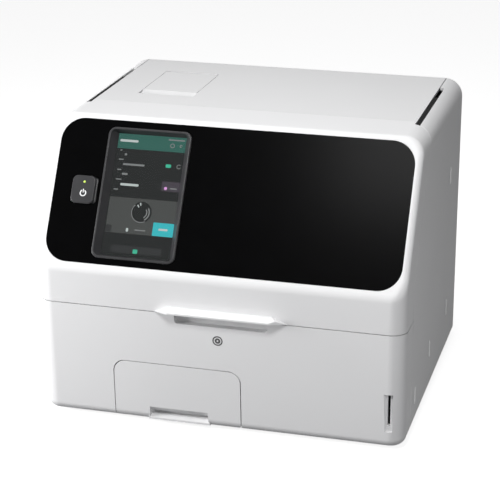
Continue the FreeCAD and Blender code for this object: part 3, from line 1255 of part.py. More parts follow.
def sampler_head():
    """The head that slides down the rail and carries the nozzle."""
    block = box("head_block", ("carriage_home - head_width / 2", "carriage_home + head_width / 2"), ("nozzle_y - 7", HEAD_FACE),
                ("nozzle_tip + 48", "nozzle_tip + 116"))
    soft = rounded("head_soft", block, 3, head_front)
    groove = box("head_groove", ("carriage_home - 4 - fit", "carriage_home + 4 + fit"), ("%s - 4 - fit" % CARRIAGE_FACE, "0"),
                 ("nozzle_tip", "nozzle_tip + 200"))
    return cut("sampler_head", soft, [groove])


def head_front(samples):
    """Whether an edge stands along Z at the front of the head."""
    return upright(samples) and samples[0].y < size.nozzle_y


def nozzle():
    """The steel nozzle with its cone for disposable tips."""
    needle = rod("nozzle_needle", "Z", ("carriage_home", "nozzle_y", "nozzle_tip"), "40", "nozzle_radius")
    collar = rod("nozzle_collar", "Z", ("carriage_home", "nozzle_y", "nozzle_tip + 36"), "12", "5")
    bore = rod("nozzle_bore", "Z", ("carriage_home", "nozzle_y", "nozzle_tip - 1"), "60", "0.6")
    return cut("nozzle", fuse("nozzle_solid", [needle, collar]), [bore])


def pulley(name, side):
    """A belt pulley on the front of the bulkhead, between two flanges."""
    x = "%s * %s" % (side, PULLEY_X)
    drum = rod(name + "_drum", "Y", (x, "%s - 0.4" % BELT_FRONT, BELT_Z), "belt_width + 0.8", "pulley_radius - 0.1")
    flanges = [rod(name + "_flange_%d" % number, "Y", (x, y, BELT_Z), "1", "pulley_radius + 2")
               for number, y in enumerate(("%s - 1.4" % BELT_FRONT, "%s + belt_width + 0.4" % BELT_FRONT))]
    bore = rod(name + "_bore", "Y", (x, "0", BELT_Z), "40", "2.55")
    return cut(name, fuse(name + "_solid", [drum] + flanges), [bore])


def drive_belt():
    """The toothed belt as one band round both pulleys."""
    def loop(name, grow, y):
        block = box(name + "_block", ("-%s - pulley_radius - %s" % (PULLEY_X, grow), "%s + pulley_radius + %s" % (PULLEY_X, grow)), y,
                    ("%s - pulley_radius - %s" % (BELT_Z, grow), "%s + pulley_radius + %s" % (BELT_Z, grow)))
        radius = size.pulley_radius + (0 if grow == "0" else size.belt_thick) - 0.001
        return rounded(name, block, radius, lengthwise)
    outside = loop("belt_outside", "belt_thick", (BELT_FRONT, "%s + belt_width" % BELT_FRONT))
    inside = loop("belt_inside", "0", ("%s - 5" % BELT_FRONT, "%s + belt_width + 5" % BELT_FRONT))
    return cut("drive_belt", outside, [inside])


def carriage_motor():
    """The motor behind the bulkhead; its shaft reaches through to the drive pulley."""
    x = PULLEY_X
    body = box("motor_block", ("%s - motor_size / 2" % x, "%s + motor_size / 2" % x), ("bulkhead_y + sheet", "bulkhead_y + sheet + 34"),
               ("%s - motor_size / 2" % BELT_Z, "%s + motor_size / 2" % BELT_Z))
    soft = rounded("motor_soft", body, 4, lengthwise)
    shaft = rod("motor_shaft", "Y", (x, "%s - 2" % BELT_FRONT, BELT_Z), "bulkhead_y + sheet + 2 - (%s - 2)" % BELT_FRONT, "2.5")
    return fuse("carriage_motor", [soft, shaft])


def incubator_housing():
    """The heated cup that hangs under the deck round the disc."""
    outside = rod("housing_cup", "Z", ("disc_x", "disc_y", "%s - 44" % DECK_LOW), "44", "disc_radius + 8")
    inside = rod("housing_well", "Z", ("disc_x", "disc_y", "%s - 40" % DECK_LOW), "60", "disc_radius + 2")
    bore = rod("housing_bore", "Z", ("disc_x", "disc_y", "0"), "200", "8")
    return cut("incubator_housing", outside, [inside, bore])


def incubator_disc():
    """The turning disc with a pocket for each test slide."""
    body = doc.addObject("PartDesign::Body", "disc_body")
    outline = sketch_circle(body, "disc_outline", "XY_Plane", "0", "0", "disc_radius")
    pad(body, "disc_plate", outline, "disc_thick")
    seat = sketch_rectangle(body, "pocket_outline", "XY_Plane", ("disc_radius - 30", "disc_radius - 3"), ("-12", "12"))
    seat.AttachmentOffset = Placement(Vector(0, 0, size.disc_thick), Rotation())
    seat.setExpression("AttachmentOffset.Base.z", text("disc_thick"))
    pockets = pocket(body, "slide_pocket", seat, "3", False)
    ring = body.newObject("PartDesign::PolarPattern", "slide_pockets")
    ring.Originals = [pockets]
    ring.Axis = (outline, ["N_Axis"])
    ring.Angle = 360
    ring.Occurrences = int(size.pocket_count)
    body.Tip = ring
    bore = sketch_circle(body, "disc_bore_outline", "XY_Plane", "0", "0", "3.05")
    bore.AttachmentOffset = Placement(Vector(0, 0, size.disc_thick), Rotation())
    bore.setExpression("AttachmentOffset.Base.z", text("disc_thick"))
    pocket(body, "disc_bore", bore, "disc_thick + 1", False)
    return move(body, "disc_x", "disc_y", DISC_Z)


DISC_Z = "(%s - 14)" % DECK_LOW


def test_slides():
    """Thin test slides in some of the disc's pockets."""
    slides = []
    for number, step in enumerate((0, 1, 3, 7), start=1):
        slide = doc.addObject("Part::Box", "test_slide_%d" % number)
        bind(slide, Length="25", Width="22", Height="1.6")
        angle = math.radians(360.0 / size.pocket_count * step)
        x = "disc_x + (disc_radius - 29) * %.6f + 11 * %.6f" % (math.cos(angle), math.sin(angle))
        y = "disc_y + (disc_radius - 29) * %.6f - 11 * %.6f" % (math.sin(angle), math.cos(angle))
        slide.Placement = Placement(Vector(), Rotation(Vector(0, 0, 1), math.degrees(angle)))
        slides.append(move(slide, x, y, "%s + disc_thick - 3" % DISC_Z))
    return group("test_slides", slides)


def incubator_cover():
    """The plate over the rear half of the disc, with the nozzle's port."""
    disc = rod("cover_round", "Z", ("disc_x", "disc_y", "deck_top"), "3", "disc_radius + 12")
    half = box("cover_half", ("disc_x - disc_radius - 20", "disc_x + disc_radius + 20"), ("disc_y + 12", "bulkhead_y - 1"), ("0", "400"))
    port = rod("cover_port", "Z", ("carriage_home + carriage_travel", "nozzle_y", "100"), "100", "6")
    return cut("incubator_cover", common("cover_half_round", disc, half), [port])


def incubator_motor():
    """The motor under the incubator with the shaft of the disc."""
    body = box("disc_motor_block", ("disc_x - 21", "disc_x + 21"), ("disc_y - 21", "disc_y + 21"), ("%s - 44 - 36" % DECK_LOW, "%s - 44" % DECK_LOW))
    soft = rounded("disc_motor_soft", body, 4, upright)
    shaft = rod("disc_shaft", "Z", ("disc_x", "disc_y", "%s - 46" % DECK_LOW), "46 - 14 + disc_thick + 1", "3")
    shoulder = rod("disc_shoulder", "Z", ("disc_x", "disc_y", "%s - 45" % DECK_LOW), "45 - 14 - fit", "6")
    return fuse("incubator_motor", [soft, shaft, shoulder])


def photometer():
    """The optical head under the disc's track, at the left of the housing."""
    body = box("optic_block", ("disc_x - disc_radius - 46", "disc_x - disc_radius - 8.5"), ("disc_y - 16", "disc_y + 16"), ("%s - 50" % DECK_LOW, DECK_LOW))
    lens = rod("optic_lens", "X", ("disc_x - disc_radius - 60", "disc_y", "%s - 30" % DECK_LOW), "20", "8")
    return fuse("photometer", [body, lens])


TUBE_X = "-80"


def sample_rack():
    """The rack for the sample tubes."""
    block = box("rack_block", ("%s - 14" % TUBE_X, "%s + tube_pitch * (tube_count - 1) + 14" % TUBE_X), ("nozzle_y - 14", "nozzle_y + 12"),
                ("deck_top", "deck_top + 32"))
    soft = rounded("rack_soft", block, 4, upright)
    wells = [rod("rack_well_%d" % number, "Z", ("%s + tube_pitch * %d" % (TUBE_X, number), "nozzle_y", "deck_top + 3"), "60", "tube_radius + fit")
             for number in range(int(size.tube_count))]
    return cut("sample_rack", soft, wells)


def sample_tubes():
    """Sample tubes with soft stoppers, standing in the rack."""
    tubes = []
    for number in range(int(size.tube_count)):
        x = "%s + tube_pitch * %d" % (TUBE_X, number)
        glass = rod("tube_glass_%d" % number, "Z", (x, "nozzle_y", "deck_top + 3"), "tube_length", "tube_radius")
        stopper = rod("tube_stopper_%d" % number, "Z", (x, "nozzle_y", "deck_top + 3 + tube_length - 6"), "8", "tube_radius + 1.2")
        tubes.append(fuse("sample_tube_%d" % number, [glass, stopper]))
    return group("sample_tubes", tubes)


TIP_X = "5"


def tip_rack():
    """The rack of disposable pipette tips."""
    block = box("tip_block", ("%s - 8" % TIP_X, "%s + (tip_count - 1) * tip_pitch + 8" % TIP_X), ("nozzle_y - 14", "nozzle_y + 12"), ("deck_top", "deck_top + 36"))
    soft = rounded("tip_soft", block, 3, upright)
    wells = [rod("tip_well_%d" % number, "Z", ("%s + tip_pitch * %d" % (TIP_X, number), "nozzle_y", "deck_top + 6"), "60", "tip_radius + fit")
             for number in range(int(size.tip_count))]
    return cut("tip_rack", soft, wells)


def pipette_tips():
    """Tapered tips that hang in the rack by their collars."""
    tips = []
    for number in range(int(size.tip_count)):
        x = "%s + tip_pitch * %d" % (TIP_X, number)
        cone = doc.addObject("Part::Cone", "tip_cone_%d" % number)
        bind(cone, Radius1="0.8", Radius2="tip_radius", Height="28")
        move(cone, x, "nozzle_y", "deck_top + 8")
        collar = rod("tip_collar_%d" % number, "Z", (x, "nozzle_y", "deck_top + 36"), "10", "tip_radius + 1")
        bore = rod("tip_bore_%d" % number, "Z", (x, "nozzle_y", "deck_top + 30"), "20", "tip_radius - 1")
        tips.append(cut("pipette_tip_%d" % number, fuse("tip_solid_%d" % number, [cone, collar]), [bore]))
    return group("pipette_tips", tips)


def slide_cassette():
    """The tower that holds fresh slides, open to the front, beside the disc."""
    x = ("disc_x - disc_radius - 48", "disc_x - disc_radius - 14")
    y = ("disc_y - 60", "disc_y - 28")
    block = box("cassette_block", x, y, ("deck_top", "deck_top + 54"))
    room = box("cassette_room", ("%s + 3" % x[0], "%s - 3" % x[1]), ("%s - 5" % y[0], "%s - 3" % y[1]), ("deck_top + 4", "deck_top + 100"))
    return cut("slide_cassette", rounded("cassette_soft", block, 2, upright), [room])


def slide_stack():
    """The stack of fresh slides in the cassette."""
    x = ("disc_x - disc_radius - 48 + 3 + fit", "disc_x - disc_radius - 14 - 3 - fit")
    y = ("disc_y - 59", "disc_y - 31 - fit")
    return group("slide_stack", [box("fresh_slide_%d" % number, x, y, ("deck_top + 4 + %d * 3" % number, "deck_top + 6.6 + %d * 3" % number))
                                 for number in range(10)])


def catch_magnets():
    """Two magnets under the cover's corner bosses."""
    right = box("magnet_right", ("%s - 14" % DECK_HALF, "%s - 2" % DECK_HALF), ("%s + 16.5" % NOSE, "%s + 23" % NOSE), ("seam_height + 2", "seam_height + 4"))
    return group("catch_magnets", [right, mirrored("magnet_left", right)])


def rear_screws():
    """Pan-head screws round the back plate."""
    places = [("%s * %s" % (side, DECK_HALF_IN), z) for side in ("-1", "1") for z in ("foot_gap + 25", "foot_gap + body_height / 2 - 6", "%s - 37" % TOP)]
    return group("rear_screws", [rod("rear_screw_%d" % number, "Y", (x, "%s - wall" % REAR, z), "2", "screw_radius + 1.2")
                                 for number, (x, z) in enumerate(places, start=1)])


DECK_HALF_IN = "(%s - 10)" % DECK_HALF

skin = make_skin()
doc.recompute()

pieces = {
    "front_cover": front_cover(),
    "front_panel": front_panel(),
    "display_bezel": display_bezel(),
    "touch_glass": touch_glass(),
    "display_module": display_module(),
    "power_button": power_button(),
    "button_lens": button_lens(),
    "switch_board": switch_board(),
    "cover_arms": pair("cover_arms", cover_arm()),
    "hinge_pins": pair("hinge_pins", hinge_pin()),
    "top_deck": top_deck(),
    "printer_lid": printer_lid(),
    "platen_roller": platen_roller(),
    "side_panel_right": side_panel(),
    "side_frame_right": side_frame(),
    "lower_front_cover": lower_front_cover(),
    "waste_drawer": waste_drawer(),
    "waste_bin": waste_bin(),
    "drawer_runners": group("drawer_runners", [drawer_runner("runner_left", -1), drawer_runner("runner_right", 1)]),
    "card_reader": card_reader(),
    "base_tray": base_tray(),
    "work_deck": work_deck(),
    "deck_posts": deck_posts(),
    "bulkhead": bulkhead(),
    "rear_panel": rear_panel(),
    "rubber_feet": rubber_feet(),
    "mains_inlet": mains_inlet(),
    "switch_housing": switch_housing(),
    "mains_rocker": mains_rocker(),
    "port_block": port_block(),
    "fan_housing": cooling_fan(),
    "fan_rotor": fan_rotor(),
    "power_supply": power_supply(),
    "main_board": main_board(),
    "printer_body": printer_body(),
    "paper_roll": paper_roll(),
    "guide_rods": guide_rods(),
    "sampler_carriage": sampler_carriage(),
    "sampler_head": sampler_head(),
    "nozzle": nozzle(),
    "drive_pulley": pulley("drive_pulley", 1),
    "idler_pulley": pulley("idler_pulley", -1),
    "drive_belt": drive_belt(),
    "carriage_motor": carriage_motor(),
    "incubator_housing": incubator_housing(),
    "incubator_disc": incubator_disc(),
    "test_slides": test_slides(),
    "incubator_cover": incubator_cover(),
    "incubator_motor": incubator_motor(),
    "photometer": photometer(),
    "sample_rack": sample_rack(),
    "sample_tubes": sample_tubes(),
    "tip_rack": tip_rack(),
    "pipette_tips": pipette_tips(),
    "slide_cassette": slide_cassette(),
    "slide_stack": slide_stack(),
    "catch_magnets": catch_magnets(),
    "rear_screws": rear_screws(),
}
for right in ("side_panel_right", "side_frame_right"):
    left = right.replace("right", "left")
    pieces[left] = mirrored(left, pieces[right])

doc.recompute()
failed = [thing.Name for thing in doc.Objects if "Invalid" in thing.State or "Error" in thing.State]
if failed:
    raise ValueError("failed objects: " + ", ".join(failed))
for name, piece in pieces.items():
    if piece.Shape.isNull() or not piece.Shape.isValid():
        raise ValueError(name + " is not a valid solid")


def stand(name, piece):
    """The finished piece, moved so that the origin lies midway between the lip's edge and the back."""
    piece.Label = name + "_form"
    placed = doc.addObject("Part::Compound", name + "_placed")
    placed.Links = [piece]
    placed.Label = name
    return move(placed, y="(lip_reach - lip_stand) / 2")


nodes = {name: stand(name, piece) for name, piece in pieces.items()}
doc.recompute()
os.makedirs("parts", exist_ok=True)
for name, node in nodes.items():
    if "Invalid" in node.State or "Error" in node.State or not node.Shape.isValid():
        raise ValueError(name + " is not a valid node")
    node.Shape.exportStep("parts/%s.step" % name)
print(len(nodes), "pieces")
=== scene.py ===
import math

import bpy
import numpy as np
from mathutils import Euler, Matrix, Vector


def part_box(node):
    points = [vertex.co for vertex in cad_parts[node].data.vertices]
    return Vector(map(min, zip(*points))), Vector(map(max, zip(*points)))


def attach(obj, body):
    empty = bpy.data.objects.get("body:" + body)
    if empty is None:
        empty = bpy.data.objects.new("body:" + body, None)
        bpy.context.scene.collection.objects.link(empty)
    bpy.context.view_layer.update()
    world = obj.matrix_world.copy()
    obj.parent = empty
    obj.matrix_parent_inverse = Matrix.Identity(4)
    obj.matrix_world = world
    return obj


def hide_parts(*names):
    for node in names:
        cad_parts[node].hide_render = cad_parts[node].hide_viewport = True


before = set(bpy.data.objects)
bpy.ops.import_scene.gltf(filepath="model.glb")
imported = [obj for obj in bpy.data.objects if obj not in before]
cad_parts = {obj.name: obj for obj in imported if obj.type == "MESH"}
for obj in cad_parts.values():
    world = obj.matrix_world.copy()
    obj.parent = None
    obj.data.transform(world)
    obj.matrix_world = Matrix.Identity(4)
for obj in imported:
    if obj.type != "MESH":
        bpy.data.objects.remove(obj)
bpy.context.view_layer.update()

# Base tray, side frames, bulkhead, back plate, drawer runners and the power unit's case.
# Sheet steel, cut, bent and given a thin light grey coat with a fine orange peel;
# the frames stand on the tray and carry every cover.
COAT_GREY = (0.48, 0.49, 0.51)


def new_finish(name, roughness, metallic=0.0):
    """A material with its node tree, its shader and a texture coordinate in the object's own
    metres."""
    finish = bpy.data.materials.new(name)
    finish.use_nodes = True
    shader = finish.node_tree.nodes["Principled BSDF"]
    shader.inputs["Roughness"].default_value = roughness
    shader.inputs["Metallic"].default_value = metallic
    place = finish.node_tree.nodes.new("ShaderNodeTexCoord")
    return finish, finish.node_tree, shader, place.outputs["Object"]


def speckle(tree, place, scale, detail=4.0):
    """Noise of a given scale per metre on object coordinates."""
    noise = tree.nodes.new("ShaderNodeTexNoise")
    noise.inputs["Scale"].default_value = scale
    noise.inputs["Detail"].default_value = detail
    tree.links.new(place, noise.inputs["Vector"])
    return noise.outputs["Fac"]


def tint(tree, shader, mask, dark, light):
    """Base colour that runs from dark to light with a mask."""
    ramp = tree.nodes.new("ShaderNodeValToRGB")
    for stop, position, colour in zip(ramp.color_ramp.elements, (0.3, 0.7), (dark, light)):
        stop.position = position
        stop.color = (*colour, 1)
    tree.links.new(mask, ramp.inputs["Fac"])
    tree.links.new(ramp.outputs["Color"], shader.inputs["Base Color"])


def dimple(tree, shader, mask, depth, strength=1.0):
    """Bump from a mask, its depth in metres."""
    bump = tree.nodes.new("ShaderNodeBump")
    bump.inputs["Distance"].default_value = depth
    bump.inputs["Strength"].default_value = strength
    tree.links.new(mask, bump.inputs["Height"])
    tree.links.new(bump.outputs["Normal"], shader.inputs["Normal"])


def darker(colour, share):
    """A colour times a share of its light."""
    return tuple(share * part for part in colour)


def coat(finish, *nodes):
    """Gives CAD nodes a finish."""
    for node in nodes:
        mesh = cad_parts[node].data
        mesh.materials.clear()
        mesh.materials.append(finish)


def coated_sheet():
    """Grey powder coat: flat grey with a fine peel."""
    finish, tree, shader, place = new_finish("coated_sheet", 0.42)
    tint(tree, shader, speckle(tree, place, 60.0), darker(COAT_GREY, 0.94), COAT_GREY)
    dimple(tree, shader, speckle(tree, place, 1400.0, 2.0), 0.00004, 0.6)
    return finish


coat(coated_sheet(), "base_tray", "side_frame_right", "side_frame_left", "bulkhead", "rear_panel",
     "drawer_runners", "power_supply")

# Hinge pins, guide rods, deck posts, nozzle, magnets and screws.
# Bright steel bar, turned and ground; the fine rings of the grinding run round it.
GRIND_LINES = (2600.0, 60.0, 60.0)


def ground_steel():
    """Bright steel with fine scratches: noise drawn out along the bar's rings."""
    finish, tree, shader, place = new_finish("ground_steel", 0.24, 1.0)
    stretch = tree.nodes.new("ShaderNodeMapping")
    stretch.inputs["Scale"].default_value = GRIND_LINES
    tree.links.new(place, stretch.inputs["Vector"])
    lines = speckle(tree, stretch.outputs["Vector"], 1.0, 2.0)
    tint(tree, shader, lines, (0.56, 0.57, 0.58), (0.68, 0.69, 0.70))
    dimple(tree, shader, lines, 0.00001, 0.5)
    return finish


coat(ground_steel(), "hinge_pins", "guide_rods", "deck_posts", "nozzle", "catch_magnets",
     "rear_screws")

# The four feet, the platen roller and the drive belt.
# Moulded black rubber with a dull, faintly dusty skin; the feet are screwed to the tray.


def dull_rubber():
    """Near-black rubber with a soft grain."""
    finish, tree, shader, place = new_finish("dull_rubber", 0.72)
    tint(tree, shader, speckle(tree, place, 300.0), (0.018, 0.018, 0.019), (0.032, 0.032, 0.033))
    dimple(tree, shader, speckle(tree, place, 2400.0, 2.0), 0.00005, 0.5)
    return finish


coat(dull_rubber(), "rubber_feet", "platen_roller", "drive_belt")

# Circuit boards behind the bulkhead and the power button.
# Glass-fibre boards with copper tracks under green lacquer, screwed to their stand-offs.


def circuit_green():
    """Green lacquer crossed by paler tracks, from a brick pattern of narrow lines."""
    finish, tree, shader, place = new_finish("circuit_green", 0.35)
    flat = tree.nodes.new("ShaderNodeMapping")
    flat.inputs["Rotation"].default_value = (math.radians(90), 0, 0)
    tree.links.new(place, flat.inputs["Vector"])
    tracks = tree.nodes.new("ShaderNodeTexBrick")
    tracks.inputs["Scale"].default_value = 60.0
    tracks.inputs["Mortar Size"].default_value = 0.03
    tracks.inputs["Color1"].default_value = (0.008, 0.07, 0.03, 1)
    tracks.inputs["Color2"].default_value = (0.010, 0.085, 0.036, 1)
    tracks.inputs["Mortar"].default_value = (0.04, 0.19, 0.08, 1)
    tree.links.new(flat.outputs["Vector"], tracks.inputs["Vector"])
    tree.links.new(tracks.outputs["Color"], shader.inputs["Base Color"])
    return finish


coat(circuit_green(), "main_board", "switch_board")

# Sampler carriage, belt pulleys, incubator cup and disc.
# Milled aluminium plate with a satin, softly brushed face.


def milled_aluminium():
    """Pale satin metal with short cutter marks."""
    finish, tree, shader, place = new_finish("milled_aluminium", 0.34, 1.0)
    tint(tree, shader, speckle(tree, place, 220.0, 6.0), (0.62, 0.63, 0.64), (0.72, 0.73, 0.74))
    dimple(tree, shader, speckle(tree, place, 1800.0, 2.0), 0.00002, 0.5)
    return finish


coat(milled_aluminium(), "sampler_carriage", "drive_pulley", "idler_pulley", "incubator_housing",
     "incubator_disc")

# Fan, connectors, switch, printer, card unit, optics, cassette, motors and display unit.
# Moulded glass-filled nylon, black, with a fine spark-eroded grain; each is screwed or clipped in.


def black_nylon():
    """Charcoal plastic with a fine even grain."""
    finish, tree, shader, place = new_finish("black_nylon", 0.5)
    tint(tree, shader, speckle(tree, place, 500.0), (0.020, 0.020, 0.022), (0.030, 0.030, 0.032))
    dimple(tree, shader, speckle(tree, place, 2600.0, 2.0), 0.00004, 0.6)
    return finish


BLACK = black_nylon()
coat(BLACK, "fan_housing", "fan_rotor", "mains_inlet", "switch_housing", "mains_rocker",
     "port_block", "printer_body", "card_reader", "photometer", "slide_cassette",
     "carriage_motor", "incubator_motor", "display_module")

# Work deck, racks, disc cover, sampler head and waste bin.
# Moulded mid-grey plastic with a fine matt grain, easy to wipe; racks and bin lift out.


def grey_moulding():
    """Mid-grey plastic with a fine grain."""
    finish, tree, shader, place = new_finish("grey_moulding", 0.48)
    tint(tree, shader, speckle(tree, place, 90.0), (0.30, 0.315, 0.335), (0.33, 0.345, 0.365))
    dimple(tree, shader, speckle(tree, place, 2200.0, 2.0), 0.00004, 0.6)
    return finish


coat(grey_moulding(), "work_deck", "sample_rack", "tip_rack", "incubator_cover", "sampler_head",
     "waste_bin")

# Stock on the work deck: test slides, sample tubes and pipette tips.
# The slides have white moulded frames; tubes and tips are clear, slightly cloudy mouldings.


def slide_white():
    """White slide frames with a faint warmth."""
    finish, tree, shader, place = new_finish("slide_white", 0.4)
    tint(tree, shader, speckle(tree, place, 400.0), (0.72, 0.73, 0.72), (0.80, 0.80, 0.78))
    return finish


def clear_moulding():
    """Cloudy clear plastic that lets some light through."""
    finish, tree, shader, place = new_finish("clear_moulding", 0.16)
    tint(tree, shader, speckle(tree, place, 120.0), (0.66, 0.74, 0.80), (0.78, 0.84, 0.88))
    shader.inputs["Transmission Weight"].default_value = 0.35
    shader.inputs["IOR"].default_value = 1.45
    return finish


coat(slide_white(), "test_slides", "slide_stack")
coat(clear_moulding(), "sample_tubes", "pipette_tips")

# Chart paper in the printer.
# A roll of white paper that lies loose in its well; its turns show as fine rings on the ends.


def chart_paper():
    """White paper with rings about the roll's axis."""
    finish, tree, shader, place = new_finish("chart_paper", 0.8)
    low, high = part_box("paper_roll")
    centre = (low + high) / 2
    move = tree.nodes.new("ShaderNodeMapping")
    move.inputs["Location"].default_value = (0.0, -centre.y, -centre.z)
    tree.links.new(place, move.inputs["Vector"])
    rings = tree.nodes.new("ShaderNodeTexWave")
    rings.wave_type = "RINGS"
    rings.rings_direction = "X"
    rings.inputs["Scale"].default_value = 260.0
    tree.links.new(move.outputs["Vector"], rings.inputs["Vector"])
    tint(tree, shader, rings.outputs["Fac"], (0.70, 0.70, 0.68), (0.84, 0.84, 0.82))
    return finish


coat(chart_paper(), "paper_roll")

# Casing: side covers, top deck, lower front, front cover, drawer front and printer lid.
# Off-white moulded plastic, 3.5 mm thick, with a fine satin grain; the parts are screwed to the
# frame from inside and meet in narrow seams.
CASE_WHITE = (0.800, 0.800, 0.806)
DECK_WHITE = (0.760, 0.760, 0.765)


def satin_casing(name, colour):
    """Off-white satin plastic: even colour, fine moulded grain, a soft broad gloss."""
    finish, tree, shader, place = new_finish(name, 0.42)
    tint(tree, shader, speckle(tree, place, 9.0, 2.0), darker(colour, 0.985), colour)
    dimple(tree, shader, speckle(tree, place, 1700.0, 2.0), 0.000025, 0.5)
    shader.inputs["Specular IOR Level"].default_value = 0.045
    return finish


coat(satin_casing("satin_casing", CASE_WHITE), "front_cover", "lower_front_cover", "waste_drawer",
     "side_panel_right", "side_panel_left")
coat(satin_casing("satin_deck", DECK_WHITE), "top_deck", "printer_lid")

# Plugs in the four upright recesses of each side cover.
# Pill-shaped glossy caps of the casing's plastic, pressed in; they close the side's fixing points.
GLOSS_WHITE = (0.80, 0.80, 0.805)
PLUG_WIDE = 4.1  # millimetres, as all that follow
PLUG_TALL = 22.6
PLUG_CORNER = 2.02
HALF_WIDTH = 235
# Each plug's rear and lower edge, then for each loop how far inside the rim and out of the side.
PLUG_PLACES = ((115.2, 253.2), (120.2, 62.2), (-13.8, 56.2), (-116.8, 36.2))
PLUG_LOOPS = ((2.0, -1.5), (0.0, -1.5), (0.0, -0.1), (0.1, 0.3), (0.3, 0.6), (0.7, 0.95),
              (1.3, 1.2), (1.8, 1.28), (2.0, 1.3))


def gloss_casing():
    """The casing's plastic with a polished face."""
    finish, tree, shader, place = new_finish("gloss_casing", 0.3)
    shader.inputs["Specular IOR Level"].default_value = 1.0
    tint(tree, shader, speckle(tree, place, 40.0), darker(GLOSS_WHITE, 0.98), GLOSS_WHITE)
    return finish


def surface(name, points, finish, closed_u=False, closed_v=False):
    """A mesh over a grid of points (u, v, 3), joined edge to edge where a way is closed."""
    rows, columns = points.shape[:2]
    u = np.arange(rows if closed_u else rows - 1)[:, None]
    v = np.arange(columns if closed_v else columns - 1)[None, :]
    u2, v2 = (u + 1) % rows, (v + 1) % columns
    corners = (u * columns + v, u2 * columns + v, u2 * columns + v2, u * columns + v2)
    mesh = bpy.data.meshes.new(name)
    mesh.from_pydata(points.reshape(-1, 3).tolist(), [],
                     np.stack(corners, axis=-1).reshape(-1, 4).tolist())
    mesh.validate()
    mesh.polygons.foreach_set("use_smooth", np.ones(len(mesh.polygons), bool))
    mesh.materials.append(finish)
    piece = bpy.data.objects.new(name, mesh)
    bpy.context.collection.objects.link(piece)
    return piece


def ring_body(name, loops, finish):
    """A closed solid skinned over loops that run round it and back to the first."""
    return surface(name, np.stack(loops, axis=1), finish, closed_u=True, closed_v=True)


def fit(piece, body):
    """Hangs a piece on the body that carries it."""
    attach(piece, body)


def rounded_loop(left, right, low, high, corner, steps=10):
    """Closed path round a rectangle with round corners: four arcs of a circle, each a quarter turn
    on from the last."""
    turn = (np.arange(4)[:, None] + np.linspace(0, 1, steps)[None, :]) * math.pi / 2
    centre_x = np.array([right - corner, left + corner, left + corner, right - corner])[:, None]
    centre_up = np.array([high - corner, high - corner, low + corner, low + corner])[:, None]
    path = np.stack([centre_x + corner * np.cos(turn), centre_up + corner * np.sin(turn)], axis=-1)
    return path.reshape(-1, 2)


def side_plug(name, side, rear, low):
    """A pill: loops shrink from its rim to its middle line while the crown rises as a quarter
    ellipse."""
    loops = []
    for inset, out in PLUG_LOOPS:
        path = rounded_loop(rear + inset, rear + PLUG_WIDE - inset, low + inset,
                            low + PLUG_TALL - inset, PLUG_CORNER - inset, 6)
        path = path if side > 0 else path[::-1]
        loops.append(np.column_stack([np.full(len(path), side * (HALF_WIDTH + out)), path]) / 1000)
    fit(ring_body(name, loops, PLUG_FINISH), "chassis")


PLUG_FINISH = gloss_casing()
for side, word in ((1, "right"), (-1, "left")):
    for number, (rear, low) in enumerate(PLUG_PLACES, start=1):
        side_plug("side_plug_%s_%d" % (word, number), side, rear, low)

# Cover arms in the two slots of the top.
# Flat steel, cut and blackened; pinned at the rear and riveted to the cover, which they carry.


def blackened_steel():
    """Steel with a dull black oxide skin."""
    finish, tree, shader, place = new_finish("blackened_steel", 0.7)
    shader.inputs["Specular IOR Level"].default_value = 0.1
    tint(tree, shader, speckle(tree, place, 200.0), (0.004, 0.004, 0.004), (0.006, 0.006, 0.006))
    dimple(tree, shader, speckle(tree, place, 1500.0, 2.0), 0.00002, 0.5)
    return finish


coat(blackened_steel(), "cover_arms")

# Black panel let into the slanted face.
# A clear sheet printed black on its back and glued into its pocket: deep black under a polished,
# slightly reflecting face.


def polished_black():
    """Deep black under a polished face; the faint mottle is the print's."""
    finish, tree, shader, place = new_finish("polished_black", 0.22)
    tint(tree, shader, speckle(tree, place, 40.0), (0.0012, 0.0012, 0.0013),
         (0.0016, 0.0016, 0.0018))
    shader.inputs["Specular IOR Level"].default_value = 0.022
    return finish


coat(polished_black(), "front_panel")

# Display frame round the touch glass.
# A smoke-grey gloss moulding with softly rounded edges; its inner sides slope down to the glass,
# and its sleeve is pressed into the panel's window.
SLANT_FOOT = (-195, 205)  # depth and height where the slanted face starts, in millimetres
SLANT_RUN = 102
SLANT_RISE = 172
SINE = SLANT_RISE / math.hypot(SLANT_RISE, SLANT_RUN)
COSINE = SLANT_RUN / math.hypot(SLANT_RISE, SLANT_RUN)
SHARPEST = 0.05  # least corner radius
FRAME_OUTLINE = (-164.0, -55.0, 17.0, 185.0, 10.0)  # left, right, low, high and corner radius
FRAME_SLEEVE = 3.2
FRAME_FOOT = -8.35
SLOPE_EDGE = 3.0
SLOPE_SIDE = 6.4
SLOPE_END = 2.7
SLOPE_TOP = 1.6
SLOPE_DROP = 9.9


def smoke_frame():
    """Dark grey gloss plastic."""
    finish, tree, shader, place = new_finish("smoke_frame", 0.28)
    tint(tree, shader, speckle(tree, place, 60.0), (0.034, 0.034, 0.036), (0.041, 0.041, 0.043))
    shader.inputs["Specular IOR Level"].default_value = 0.2
    dimple(tree, shader, speckle(tree, place, 1800.0, 2.0), 0.00001, 0.4)
    return finish


def on_slant(x, up, out):
    """Points of the slanted face in metres, from millimetres across, up the slope and out of it."""
    x, up, out = np.broadcast_arrays(*(np.asarray(part, float) for part in (x, up, out)))
    y = SLANT_FOOT[0] + up * COSINE - out * SINE
    z = SLANT_FOOT[1] + up * SINE + out * COSINE
    return np.stack([x, y, z], axis=-1) / 1000


